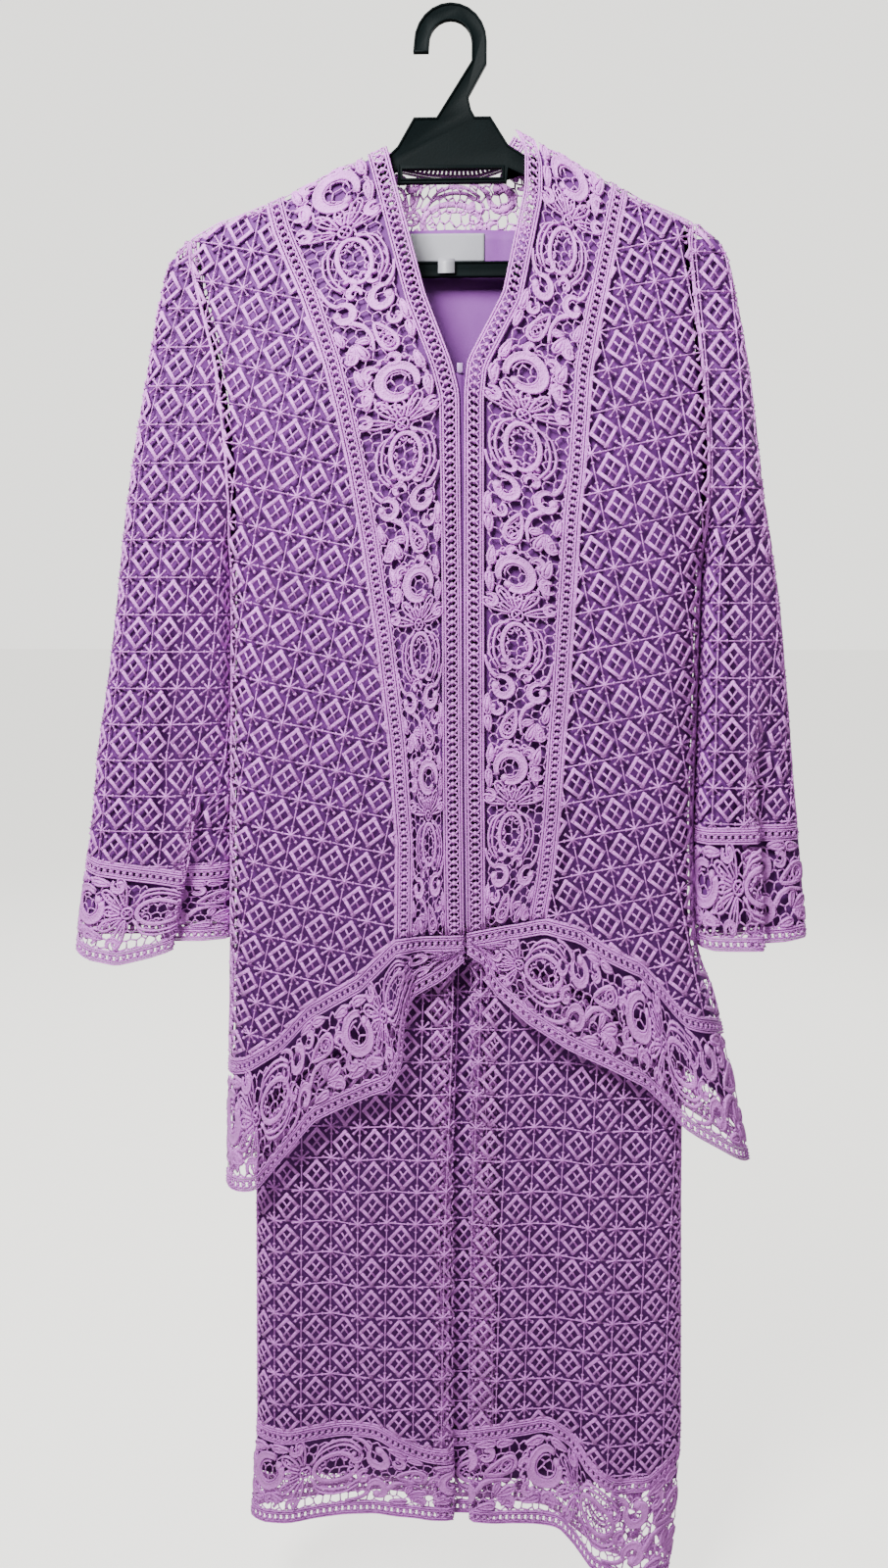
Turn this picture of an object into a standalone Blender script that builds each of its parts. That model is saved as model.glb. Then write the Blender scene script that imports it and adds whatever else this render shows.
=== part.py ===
"""Lace kurung set on a one-piece plastic hanger.

Millimetres in the tables, metres in the model, +Z up and the front of the garment toward -Y.
The origin is the top of the inside of the hanger's hook, where a peg carries it.
"""
import math

import bmesh
import bpy
from mathutils import Matrix, Vector

MM = 0.001

# Cloth walls and the room between them
LACE_WALL = 1.6
LINING_WALL = 1.0
LINING_INSET = 3.8
WAIST_WALL = 2.4
RIBBON_WALL = 1.0
LABEL_WALL = 0.7
SEAM_ROOM = 0.3
SEAM_HALF = 1.0

# Hanger
HANGER_THICK = 5.0
HOOK_CENTRE = (1.6, -15.7)
HOOK_INNER_R = 15.7
HOOK_OUTER_R = 27.0

# Depth of the body of the top, in front of and behind the hanger
SHOULDER_DEPTH = 9.0
FRONT_DEPTH = 36.0
BACK_DEPTH = 18.0
SHOULDER_CURL = 8.0
DEPTH_REACH = 190.0
SIDE_CURL = 28.0
ARMHOLE_SHARE = 0.8

# Depth of the skirt's layers
SKIRT_FRONT = 20.5
SKIRT_BACK = 8.0
PLEAT_TUCK = 29.0
PLEAT_LAYER = 5.2

# Sleeve layers
SLEEVE_TUCK = 15.0
SLEEVE_LAYER = 6.8
SLEEVE_PLACES = 14

# Where the panels' rows and columns lie, closer together where the cloth curls over
DOWN = (0, 0.010, 0.022, 0.05, 0.12, 0.20, 0.30, 0.40, 0.50, 0.60, 0.70, 0.80, 0.90, 1)
DOWN_PLAIN = (0, 0.011, 0.026, 0.07, 0.16, 0.28, 0.42, 0.58, 0.72, 0.80, 0.88, 1)
FROM_SIDE = (0, 0.02, 0.06, 0.14, 0.28, 0.45, 0.63, 0.82, 1)

# Lace borders
STRIP_SHARE = 0.16
HOLE_A = ((0.20, 0.22), (0.50, 0.15), (0.80, 0.30), (0.76, 0.72), (0.46, 0.85), (0.19, 0.68))
HOLE_B = ((0.17, 0.40), (0.45, 0.18), (0.74, 0.20), (0.85, 0.58), (0.60, 0.83), (0.27, 0.76))
HOLE_C = ((0.26, 0.18), (0.60, 0.20), (0.84, 0.42), (0.73, 0.80), (0.42, 0.79), (0.15, 0.54))
HOLES = (HOLE_A, HOLE_B, HOLE_C)

# Shoulder line: across, up
SHOULDER_LINE = (
    (-198, -152), (-173, -139), (-162, -136), (-138, -127), (-121, -120), (-95, -108),
    (-70, -97), (-47, -87), (0, -84), (49, -76), (62, -83), (77, -91), (95, -100),
    (122, -113), (143, -126), (168, -136), (186, -144),
)

# Left side of the body from the shoulder's end: up, across
LEFT_SIDE = (
    (-152, -195), (-169, -195), (-204, -187), (-248, -175), (-310, -168), (-353, -167),
    (-383, -171), (-490, -174), (-612, -178), (-738, -182), (-830, -186), (-921, -190),
)
# Right side of the body from the shoulder's end: up, across
RIGHT_SIDE = (
    (-144, 183), (-154, 180), (-204, 186), (-253, 192), (-310, 197), (-383, 198),
    (-600, 198), (-670, 201), (-700, 204), (-717, 209), (-740, 219), (-772, 228), (-827, 243), (-889, 256),
)

# Outer edges of the front bands from the shoulder down: across, up
BAND_LEFT_OUTER = (
    (-137, -127), (-131, -150), (-121, -174), (-110, -198), (-101, -223), (-91, -252), (-84, -280),
    (-74, -326), (-64, -384), (-54, -455), (-45, -535), (-40, -613), (-41, -690),
)
BAND_RIGHT_OUTER = (
    (134, -122), (128, -152), (121, -187), (114, -221), (108, -256), (104, -327), (101, -363),
    (98, -429), (95, -490), (92, -535), (89, -592), (85, -635), (79, -672),
)
# Neck and centre front edges: across, up
BAND_LEFT_INNER = (
    (-46, -87), (-31, -142), (-16, -197), (4, -248), (9, -269), (11, -414), (12, -565), (14, -688),
)
BAND_RIGHT_INNER = (
    (50, -76), (57, -95), (57, -120), (41, -198), (15, -247), (13.5, -269), (13.6, -414),
    (14.4, -565), (16.2, -686),
)

# Hem borders: across, up
HEM_LEFT_UPPER = (
    (-185, -803), (-164, -794), (-137, -776), (-112, -747), (-71, -722), (-41, -691), (14, -689),
)
HEM_LEFT_LOWER = (
    (-190, -917), (-158, -910), (-136, -882), (-109, -848), (-84, -835), (-46, -818),
    (-36, -798), (-34, -762), (-29, -743), (-4, -729), (14, -712),
)
HEM_RIGHT_UPPER = (
    (16.2, -687), (79, -673), (106, -680), (127, -695), (155, -708), (168, -722), (180, -738),
    (190, -749), (213, -757), (226, -765),
)
HEM_RIGHT_LOWER = (
    (16.6, -706), (29, -714), (38, -739), (66, -762), (98, -783), (132, -799), (161, -814),
    (178, -831), (193, -848), (227, -869), (254, -887),
)
HEM_BACK_UPPER = (
    (-185, -803), (-164, -790), (-112, -735), (-71, -705), (15, -670), (106, -690), (155, -716),
    (190, -745), (226, -765),
)
HEM_BACK_LOWER = (
    (-190, -917), (-160, -895), (-109, -835), (-46, -790), (15, -760), (66, -775), (132, -808),
    (178, -838), (254, -887),
)

# Neck band at the back: across, up
COLLAR_TOP = ((-45, -88), (-34, -94), (-10, -96.5), (20, -97), (38, -92), (49, -78))
COLLAR_LOW = ((-136, -128), (-90, -161), (-40, -179), (5, -184), (50, -178), (95, -158), (133, -123))

# Soft folds of the top: top across, top up, bottom across, bottom up, half width, height
FRONT_FOLDS = (
    (-165, -170, -128, -690, 24, 4.5),
    (-70, -420, -84, -800, 18, 3.0),
    (-40, -700, -44, -830, 12, 5.0),
    (135, -160, 152, -720, 24, 4.5),
    (62, -520, 105, -760, 18, 3.0),
    (188, -640, 205, -860, 14, 4.0),
)
SET_BACK_X = -30.0
SET_BACK = 6.0

# Left sleeve: up, outer edge, fold edge, body edge, folded share
LEFT_SLEEVE = (
    (-160, -207, -203, -198, 0.0),
    (-170, -215, -205, -197.5, 0.0),
    (-205, -224, -205, -189.5, 0.0),
    (-248, -233, -205, -178, 0.0),
    (-310, -246, -205, -171, 0.0),
    (-353, -254, -205, -170, 0.0),
    (-385, -259, -205, -174, 0.0),
    (-430, -265, -196, -175.5, 0.0),
    (-490, -275, -186, -177, 0.15),
    (-545, -286, -189, -178.5, 0.5),
    (-568, -288.5, -192, -179.3, 0.68),
    (-590, -291, -195, -180, 0.85),
    (-642, -299, -210, -182, 1.0),
    (-700, -309, -223, -184, 1.0),
    (-722, -311, -224, -184.5, 1.0),
)
# Right sleeve: up, outer edge, fold edge, body edge, folded share
RIGHT_SLEEVE = (
    (-151, 198, 190, 184.5, 0.0),
    (-160, 209, 200, 184, 0.0),
    (-205, 220, 205, 188.4, 0.0),
    (-253, 230, 212, 194.4, 0.0),
    (-310, 238, 220, 199.4, 0.0),
    (-353, 245, 227, 200.2, 0.0),
    (-385, 252, 232, 200.2, 0.0),
    (-430, 261, 238, 200.3, 0.2),
    (-506, 271, 243, 200.3, 0.55),
    (-533, 274, 244.5, 200.3, 0.75),
    (-560, 277, 246, 200.3, 0.9),
    (-604, 283, 249, 200.4, 1.0),
    (-650, 289, 253, 203.0, 1.0),
    (-704, 295, 258, 209.5, 1.0),
    (-712, 296, 258.5, 210.5, 1.0),
)
# Cuff edges by place along the front section, then along the back: place, up
LEFT_CUFF_TOP = ((0, -627), (3, -636), (5, -642), (14, -638), (17, -634), (21, -627))
LEFT_CUFF_LOW = ((0, -704), (1, -711), (3, -720), (5, -707), (9, -702), (14, -701), (21, -704))
RIGHT_CUFF_TOP = ((0, -604), (5, -602), (14, -602), (21, -604))
RIGHT_CUFF_LOW = ((0, -703), (5, -702), (9, -702), (14, -694), (21, -703))
SLEEVE_LINING_END = -680.0

# Skirt: up, left side, pleat, right side
SKIRT_SIDES = (
    (-262, -150, 14, 182), (-300, -152, 14, 184), (-600, -158, 14, 192), (-915, -165, 14.5, 199),
    (-1147, -170, 15, 206), (-1240, -178, 15.5, 204), (-1300, -180, 15.7, 197),
)
SKIRT_TOP = -300.6
# Skirt's hem border: across, up
SKIRT_BORDER_TOP = (
    (-180, -1146), (-110, -1138), (-60, -1133), (-31, -1152), (4, -1160), (15, -1145), (24, -1134),
    (89, -1128), (110, -1142), (123, -1163), (149, -1183), (175, -1179), (204, -1158),
)
SKIRT_HEM = (
    (-180, -1240), (-145, -1234), (-109, -1228), (-61, -1222), (12, -1228), (73, -1229), (99, -1234),
    (116, -1252), (130, -1271), (160, -1286), (204, -1284),
)
SKIRT_FOLDS = (
    (-95, -780, -48, -1170, 16, 4.0),
    (124, -800, 138, -1200, 14, 4.5),
)
SKIRT_LINING_END = -1190.0

# Things on the hanger's bar
LOOP_PLACES = (-132.0, 148.0)
LABEL_SIDES = (-35.0, 27.5)
LABEL_UPS = (-146.0, -166.0)
TAB_SIDES = (-7.5, 5.0)

COLORS = {
    "lace": (0.50, 0.30, 0.60), "lining": (0.28, 0.14, 0.42), "hanger": (0.018, 0.020, 0.020),
    "ribbon": (0.45, 0.27, 0.56), "label": (0.52, 0.52, 0.56), "metal": (0.60, 0.58, 0.62),
}
SHINE = {"lace": 0.75, "lining": 0.35, "hanger": 0.45, "ribbon": 0.4, "label": 0.4, "metal": 0.3}


def value_at(rows, key, column=1):
    """A table's column at a key, straight between its rows."""
    ordered = sorted(rows, key=lambda row: row[0])
    if key <= ordered[0][0]:
        return ordered[0][column]
    for low, high in zip(ordered, ordered[1:]):
        if key <= high[0]:
            share = (key - low[0]) / (high[0] - low[0])
            return low[column] + (high[column] - low[column]) * share
    return ordered[-1][column]


def along(points, share):
    """The point at a share of a polyline's length."""
    lengths = [math.dist(a, b) for a, b in zip(points, points[1:])]
    left = share * sum(lengths)
    for a, b, length in zip(points, points[1:], lengths):
        if left <= length:
            return tuple(p + (q - p) * left / length for p, q in zip(a, b))
        left -= length
    return tuple(points[-1])


def quarter(share):
    """A quarter round: 0 at the edge, 1 from the full width on."""
    share = min(max(share, 0.0), 1.0)
    return math.sqrt(1.0 - (1.0 - share) ** 2)


def smooth(share):
    share = min(max(share, 0.0), 1.0)
    return share * share * (3.0 - 2.0 * share)


def fold_height(folds, x, z):
    """What the soft folds add at a place."""
    total = 0.0
    for x0, z0, x1, z1, half, height in folds:
        share = (z - z0) / (z1 - z0)
        if -0.3 < share < 1.3:
            centre = x0 + (x1 - x0) * share
            ends = smooth((share + 0.3) / 0.4) * smooth((1.3 - share) / 0.4)
            total += height * ends * math.exp(-((x - centre) / half) ** 2)
    return total


def body_depth(x, z, full, inset):
    """Depth of the top's wall from the hanger's plane."""
    drop = value_at(SHOULDER_LINE, x) - z - inset
    left = x - value_at(LEFT_SIDE, z) - inset
    right = value_at(RIGHT_SIDE, z) - x - inset
    curl = (SHOULDER_DEPTH - 0.5 * inset) * quarter(drop / SHOULDER_CURL)
    deep = curl + (full - SHOULDER_DEPTH - 0.5 * inset) * smooth((drop + 10.0) / DEPTH_REACH)
    under = smooth((-345.0 - z) / 60.0)
    kept = ARMHOLE_SHARE * (1.0 - under)
    return deep * (kept + (1.0 - kept) * quarter(min(left, right) / SIDE_CURL))


def body_front(x, z, inset=0.0):
    deep = body_depth(x, z, FRONT_DEPTH, inset)
    near = min(1.0, deep / 12.0)
    folds = fold_height(FRONT_FOLDS, x, z) - 2.0
    back = SET_BACK * smooth((x - SET_BACK_X + 7.0) / 14.0) * smooth((70.0 - x) / 30.0)
    back *= smooth((-660.0 - z) / 60.0)
    if inset:
        folds, back = -2.0, SET_BACK * smooth((-580.0 - z) / 60.0)
    return (x, -SEAM_HALF - max(deep + near * (folds * smooth((-150.0 - z) / 90.0) - back), 0.0), z)


def body_back(x, z, inset=0.0):
    return (x, SEAM_HALF + body_depth(x, z, BACK_DEPTH, inset), z)


def blend(flat, folded, share):
    return [tuple(a + (b - a) * share for a, b in zip(p, q)) for p, q in zip(flat, folded)]


def pick(points, place):
    """A point of a section by its place, straight between whole places."""
    low = min(int(place), len(points) - 2)
    share = place - low
    return tuple(a + (b - a) * share for a, b in zip(points[low], points[low + 1]))


def sleeve_edge_depth(side, z, face):
    """Depth where the sleeve meets the armhole, nothing below it."""
    edge = value_at(LEFT_SIDE if side < 0 else RIGHT_SIDE, z)
    depth = body_front(edge, z)[1] if face < 0 else body_back(edge, z)[1]
    return depth * (1.0 - smooth((-345.0 - z) / 50.0))


def sleeve_front(side, place, z):
    """Front of a sleeve: one layer, the part folded under it, and the layer behind."""
    rows = LEFT_SLEEVE if side < 0 else RIGHT_SLEEVE
    outer, fold, inner, share = (value_at(rows, z, column) for column in (1, 2, 3, 4))
    start, end = (outer, inner) if side < 0 else (inner, outer)
    depths = [0.0, sleeve_edge_depth(side, z, -1)]
    start_depth, end_depth = depths if side < 0 else depths[::-1]
    way = 1.0 if fold > start else -1.0
    full = 10.0 + 15.0 * smooth((-150.0 - z) / 180.0)
    full = min(full, 4.0 + 0.8 * abs(outer - inner))
    span = end - start
    places = (0, 0.025, 0.12, 0.28, 0.44, 0.56, 0.60, 0.64, 0.69, 0.74, 0.79, 0.84, 0.91, 0.975, 1)
    rounds = (0, 0.45, 0.9, 1, 1, 1, 1, 1, 1, 1, 1, 0.98, 0.9, 0.45, 0)
    flat = []
    for at, round_share in zip(places, rounds):
        edge = start_depth if at < 0.5 else end_depth
        flat.append((start + span * at, edge * (1 - round_share) - full * round_share))
    wide = fold - start
    under, behind = full - SLEEVE_LAYER, full - 1.75 * SLEEVE_LAYER
    tuck = fold - way * SLEEVE_TUCK
    folded = [
        (start, start_depth),
        (start + way * 1.5, start_depth * 0.5 - 0.5 * full),
        (start + wide * 0.16, -0.92 * full),
        (start + wide * 0.45, -full),
        (start + wide * 0.75, -full),
        (fold - way * 2.5, -full),
        (fold, -full + 0.5 * SLEEVE_LAYER),
        (fold - way * 2.5, -under),
        (tuck + way * 2.2, -under),
        (tuck, -0.5 * (under + behind)),
        (tuck + way * 2.2, -behind),
        (fold - way * 2.0, -behind),
        (fold + (end - fold) * 0.5, -behind),
        (end - way * 2.0, end_depth * 0.4 - 0.45 * behind),
        (end, end_depth),
    ]
    stepped = [(a[0], b[1]) for a, b in zip(flat, folded)]
    if share < 0.5:
        section = blend(flat, stepped, smooth(2.0 * share))
    else:
        section = blend(stepped, folded, smooth(2.0 * share - 1.0))
    x, y = pick(section, place)
    return (x, y - SEAM_HALF, z)


def sleeve_back(side, place, z):
    """Back of a sleeve, from the end of the front section round to its start."""
    rows = LEFT_SLEEVE if side < 0 else RIGHT_SLEEVE
    outer, inner = value_at(rows, z, 1), value_at(rows, z, 3)
    start, end = (outer, inner) if side < 0 else (inner, outer)
    depths = [0.0, sleeve_edge_depth(side, z, 1)]
    start_depth, end_depth = depths if side < 0 else depths[::-1]
    full = min(10.0, 3.0 + abs(outer - inner))
    places = (1, 0.97, 0.86, 0.6, 0.35, 0.12, 0.03, 0)
    rounds = (0, 0.5, 0.95, 1, 1, 0.95, 0.5, 0)
    points = []
    for at, round_share in zip(places, rounds):
        edge = start_depth if at < 0.5 else end_depth
        points.append((start + (end - start) * at, edge * (1 - round_share) + full * round_share))
    x, y = pick(points, place)
    return (x, y + SEAM_HALF, z)


def lining_edge(z):
    """How far the sleeve's lining lies inside its sides; it meets them at its lower end."""
    return 1.9 + 3.4 * smooth((z - SLEEVE_LINING_END) / 70.0)


def sleeve_lining_front(side, place, z):
    """Lining before the back of a sleeve; it steps behind the folded layers."""
    rows = LEFT_SLEEVE if side < 0 else RIGHT_SLEEVE
    outer, fold, inner, share = (value_at(rows, z, column) for column in (1, 2, 3, 4))
    start, end = (outer, inner) if side < 0 else (inner, outer)
    way = 1.0 if end > start else -1.0
    depths = [0.0, sleeve_edge_depth(side, z, -1)]
    start_depth, end_depth = depths if side < 0 else depths[::-1]
    full = 10.0 + 15.0 * smooth((-150.0 - z) / 180.0) - LINING_INSET
    span = end - start
    step = start + span * 0.5
    behind = full
    if share > 0.0:
        step = way * min(way * step, way * (fold - way * (SLEEVE_TUCK + 5.0)))
        behind = full - 1.75 * SLEEVE_LAYER
    start_depth = max(0.7 * start_depth, -0.55 * full)
    end_depth = max(0.7 * end_depth, -0.55 * behind)
    edge = lining_edge(z)
    near, far = start + way * (edge + 1.5), end - way * (edge + 1.5)
    points = [
        (start + way * edge, start_depth),
        (near, start_depth * 0.4 - 0.5 * full),
        (start + way * (edge + 9.0), -0.90 * full),
        (0.5 * (start + way * (edge + 7.0) + step), -full),
        (step - way * 2.0, -full),
        (step + way * 2.0, -behind),
        (0.5 * (step + way * 2.0 + far), -behind),
        (far, end_depth * 0.4 - 0.5 * behind),
        (end - way * edge, end_depth),
    ]
    x, y = pick(points, place)
    return (x, y - 0.65 * SEAM_HALF, z)


def sleeve_lining_back(side, place, z):
    rows = LEFT_SLEEVE if side < 0 else RIGHT_SLEEVE
    outer, inner = value_at(rows, z, 1), value_at(rows, z, 3)
    way = 1.0 if inner > outer else -1.0
    edge = lining_edge(z)
    start, end = outer + way * edge, inner - way * edge
    full = 10.0 - LINING_INSET
    depth = min(sleeve_edge_depth(side, z, 1) * 0.7, full)
    points = [
        (end, depth), (end - way * 3.0, 0.6 * full + 0.4 * depth), (end + (start - end) * 0.25, full),
        (end + (start - end) * 0.7, full), (start + way * 3.0, 0.6 * full), (start, 0.0),
    ]
    x, y = pick(points, place)
    return (x, y + 0.65 * SEAM_HALF, z)


def skirt_front(place, z):
    """Front of the skirt with its inverted pleat, from the left side to the right."""
    left, pleat, right = (value_at(SKIRT_SIDES, z, column) for column in (1, 2, 3))
    first, second, third = SKIRT_FRONT, SKIRT_FRONT - PLEAT_LAYER, SKIRT_FRONT - 2 * PLEAT_LAYER
    half = [
        (2.2, -first + 2.4), (7.0, -second), (PLEAT_TUCK - 5.0, -second),
        (PLEAT_TUCK, -0.5 * (second + third)), (PLEAT_TUCK - 5.0, -third),
    ]
    points = [(left, -SEAM_HALF), (left + 2, -0.4 * first), (left + 14, -0.84 * first)]
    for share in (0.25, 0.45, 0.62, 0.8):
        x = left + (pleat - left) * share
        points.append((x, -first + 1.0 - fold_height(SKIRT_FOLDS, x, z)))
    points.append((pleat - 6.0, -first))
    points += [(pleat - across, y) for across, y in half]
    points += [(pleat, -third)]
    points += [(pleat + across, y) for across, y in reversed(half)]
    points.append((pleat + 6.0, -first))
    for share in (0.2, 0.4, 0.58, 0.75):
        x = pleat + (right - pleat) * share
        points.append((x, -first + 1.0 - fold_height(SKIRT_FOLDS, x, z)))
    points += [(right - 14, -0.84 * first), (right - 2, -0.4 * first), (right, -SEAM_HALF)]
    x, y = pick(points, place)
    return (x, y, z)


SKIRT_PLACES = 26
PLEAT_SPAN = (7, 19)
SKIRT_BACK_PLACES = 12


def skirt_back(place, z):
    left, pleat, right = (value_at(SKIRT_SIDES, z, column) for column in (1, 2, 3))
    points = [(left, SEAM_HALF), (left + 2, 4.2), (left + 12, SKIRT_BACK - 0.6)]
    for share in (0.16, 0.3, 0.43, 0.57, 0.7, 0.84, 0.92):
        points.append((left + (right - left) * share, SKIRT_BACK))
    points += [(right - 12, SKIRT_BACK - 0.6), (right - 2, 4.2), (right, SEAM_HALF)]
    x, y = pick(points, place)
    return (x, y, z)


def skirt_lining(place, z, face):
    left, pleat, right = (value_at(SKIRT_SIDES, z, column) for column in (1, 2, 3))
    deep = 5.6 if face < 0 else 4.4
    left, right = left + 4.5, right - 4.5
    points = [(left, 0.7), (left + 3, 0.8 * deep), (left + 14, deep)]
    points += [(left + (right - left) * share, deep) for share in (0.25, 0.5, 0.75)]
    points += [(right - 14, deep), (right - 3, 0.8 * deep), (right, 0.7)]
    x, y = pick(points, place)
    return (x, face * y, z)


def new_object(name, vertices, faces, material, group):
    mesh = bpy.data.meshes.new(name)
    mesh.from_pydata([Vector(point) * MM for point in vertices], [], faces)
    mesh.materials.append(materials[material])
    made = bpy.data.objects.new(name, mesh)
    group.objects.link(made)
    return made


def add_wall(made, wall):
    """Gives a sheet its thickness, half to each side."""
    solidify = made.modifiers.new("Wall", "SOLIDIFY")
    solidify.thickness = wall * MM
    solidify.offset = 0.0
    solidify.use_even_offset = True
    solidify.use_rim = True
    return made


def sheet(name, rows, wall, material):
    """A sheet of cloth through rows of points."""
    count = len(rows[0])
    vertices = [point for row in rows for point in row]
    faces = []
    for j in range(len(rows) - 1):
        for i in range(count - 1):
            a = j * count + i
            faces.append((a, a + count, a + count + 1, a + 1))
    return add_wall(new_object(name, vertices, faces, material, parts), wall)


def spread(first, last, count):
    return [first + (last - first) * i / count for i in range(count + 1)]


def at_shares(points, shares):
    return [along(points, share) for share in shares]


def grid_between(top, bottom, left, right, across, down):
    """Places of a four-sided panel, rows from top to bottom; the sides give a point for each share."""
    rows = []
    for t, a, b in zip(down, left, right):
        row = []
        for s, p, q in zip(across, top, bottom):
            row.append(tuple(
                (1 - t) * p[k] + t * q[k] + (1 - s) * a[k] + s * b[k]
                - (1 - s) * (1 - t) * left[0][k] - s * (1 - t) * right[0][k]
                - (1 - s) * t * left[-1][k] - s * t * right[-1][k]
                for k in (0, 1)))
        rows.append(row)
    return rows


def shifted(points, across=0.0, up=0.0):
    return [(x + across, z + up) for x, z in points]


def swapped(rows):
    return [(x, z) for z, x in rows]


def part_of(points, low, high):
    """The stretch of a line between two heights, from the top down."""
    kept = [(x, z) for x, z in points if low < z < high]
    table = [(z, x) for x, z in points]
    return [(value_at(table, high), high)] + kept + [(value_at(table, low), low)]


def across_part(points, low, high):
    kept = [(x, z) for x, z in points if low < x < high]
    return [(low, value_at(points, low))] + kept + [(high, value_at(points, high))]


def border(name, columns, cut, lower, upper, lift, rows_of_holes=2, wall=LACE_WALL):
    """A lace border: a plain strip along each edge and rows of cut cells between.

    lower and upper give the edges' places for a column, and lift turns them into points.
    """
    zone = 1.0 - 2.0 * STRIP_SHARE
    levels = [0.0] + [STRIP_SHARE + zone * k / rows_of_holes for k in range(rows_of_holes + 1)] + [1.0]
    vertices, faces, found = [], [], {}

    def vertex(column, level):
        key = (round(column, 5), round(level, 5))
        if key not in found:
            a, b = lower(column), upper(column)
            found[key] = len(vertices)
            vertices.append(lift(tuple(p + (q - p) * level for p, q in zip(a, b))))
        return found[key]

    for c, (first, last) in enumerate(zip(columns, columns[1:])):
        middle = 0.5 * (first + last)
        is_cut = c in cut
        for k, (low, high) in enumerate(zip(levels, levels[1:])):
            ring = [(first, low), (last, low), (last, high), (first, high)]
            if is_cut and 0 < k < len(levels) - 2:
                ring = [(first, low), (middle, low), (last, low), (last, high), (middle, high), (first, high)]
                shape = HOLES[(c + 2 * k) % len(HOLES)]
                hole = [(first + (last - first) * s, low + (high - low) * t) for s, t in shape]
                for n in range(6):
                    m = (n + 1) % 6
                    faces.append((vertex(*ring[n]), vertex(*ring[m]), vertex(*hole[m]), vertex(*hole[n])))
                continue
            if is_cut and k == 0:
                ring.insert(3, (middle, high))
            if is_cut and k == len(levels) - 2:
                ring.insert(1, (middle, low))
            faces.append(tuple(vertex(*place) for place in ring))
    return add_wall(new_object(name, vertices, faces, "lace", parts), wall)


def poly_curve(name, outline, holes, thick, material):
    """A flat piece cut from sheet: outline and holes filled and given half its thickness each way."""
    curve = bpy.data.curves.new(name, "CURVE")
    curve.dimensions = "2D"
    curve.fill_mode = "BOTH"
    curve.extrude = 0.5 * thick * MM
    for ring in [outline] + holes:
        spline = curve.splines.new("POLY")
        spline.points.add(len(ring) - 1)
        for point, (x, z) in zip(spline.points, ring):
            point.co = (x * MM, z * MM, 0.0, 1.0)
        spline.use_cyclic_u = True
    curve.materials.append(materials[material])
    drawn = bpy.data.objects.new(name + "_outline", curve)
    mesh = bpy.data.meshes.new_from_object(drawn)
    bpy.data.objects.remove(drawn, do_unlink=True)
    joined = bmesh.new()
    joined.from_mesh(mesh)
    bmesh.ops.remove_doubles(joined, verts=joined.verts, dist=MM * 0.001)
    bmesh.ops.rotate(joined, verts=joined.verts, cent=(0, 0, 0), matrix=Matrix.Rotation(math.radians(90), 3, "X"))
    bmesh.ops.recalc_face_normals(joined, faces=joined.faces)
    joined.to_mesh(mesh)
    joined.free()
    made = bpy.data.objects.new(name, mesh)
    parts.objects.link(made)
    return made


def make_material(name):
    material = bpy.data.materials.new(name)
    material.use_nodes = True
    shader = material.node_tree.nodes["Principled BSDF"]
    shader.inputs["Base Color"].default_value = (*COLORS[name], 1.0)
    shader.inputs["Roughness"].default_value = SHINE[name]
    shader.inputs["Metallic"].default_value = 1.0 if name == "metal" else 0.0
    return material


# Empty scene, collections and materials
for old in list(bpy.data.objects):
    bpy.data.objects.remove(old, do_unlink=True)
parts = bpy.data.collections.new("lace_kurung_set")
bpy.context.scene.collection.children.link(parts)
materials = {name: make_material(name) for name in COLORS}

# Hanger: hook, plate, sloping arms, bar and the small frame below the plate
cx, cz = HOOK_CENTRE
outer_arc = [(cx + HOOK_OUTER_R * math.cos(math.radians(a)), cz + HOOK_OUTER_R * math.sin(math.radians(a)))
             for a in range(180, -1, -15)]
inner_arc = [(cx + HOOK_INNER_R * math.cos(math.radians(a)), cz + HOOK_INNER_R * math.sin(math.radians(a)))
             for a in range(0, 181, 15)]
hanger_outline = [(-26, -22)] + outer_arc + [
    (28.6, -30), (15, -53), (17, -62), (20, -67), (31.6, -67), (45, -87), (57, -94), (77, -99),
    (95, -108), (122, -121), (143, -134), (168, -144), (182, -151), (188, -158), (189, -168),
    (184, -180), (-186, -180), (-192, -172), (-190, -161), (-173, -148), (-162, -144.5),
    (-138, -135.5), (-121, -128.5), (-95, -116.5), (-70, -105.5), (-47, -95), (-38, -87),
    (-25.7, -67), (-8.7, -67), (17.3, -28.5),
] + inner_arc + [(-14.5, -22)]
wide_gap = [
    (-38, -103), (-47, -110), (-95, -132), (-121, -144), (-150, -156), (-172, -165), (-172, -169),
    (168, -169), (167, -162), (143, -150), (122, -137), (95, -124), (57, -108), (45, -103),
    (44, -113), (-38, -113),
]
frame_gap = [(40.5, -103), (40.5, -109.5), (-34.5, -109.5), (-34.5, -103)]
poly_curve("hanger", hanger_outline, [wide_gap, frame_gap], HANGER_THICK, "hanger")


# Edges shared by neighbouring panels, drawn back for the seams
def left_side_line(high, low, inset=0.0):
    return [(x + inset, z) for x, z in part_of(swapped(LEFT_SIDE), low, high)]


def right_side_line(high, low, inset=0.0):
    return [(x - inset, z) for x, z in part_of(swapped(RIGHT_SIDE), low, high)]


def lifted(rows, lift):
    return [[lift(x, z) for x, z in row] for row in rows]


# Lattice lace panels of the top
SHOULDER_DROP = 0.8
FROM_BAND = tuple(1 - share for share in reversed(FROM_SIDE))
band_left_edge = at_shares(BAND_LEFT_OUTER, DOWN)
band_right_edge = at_shares(BAND_RIGHT_OUTER, DOWN)
hem_left_edge = at_shares(HEM_LEFT_UPPER[:6], FROM_SIDE)
hem_right_edge = at_shares(HEM_RIGHT_UPPER[1:], FROM_BAND)


def shoulder(low, high, shares, down=SHOULDER_DROP):
    return at_shares(shifted(across_part(SHOULDER_LINE, low, high), up=-down), shares)


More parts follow.
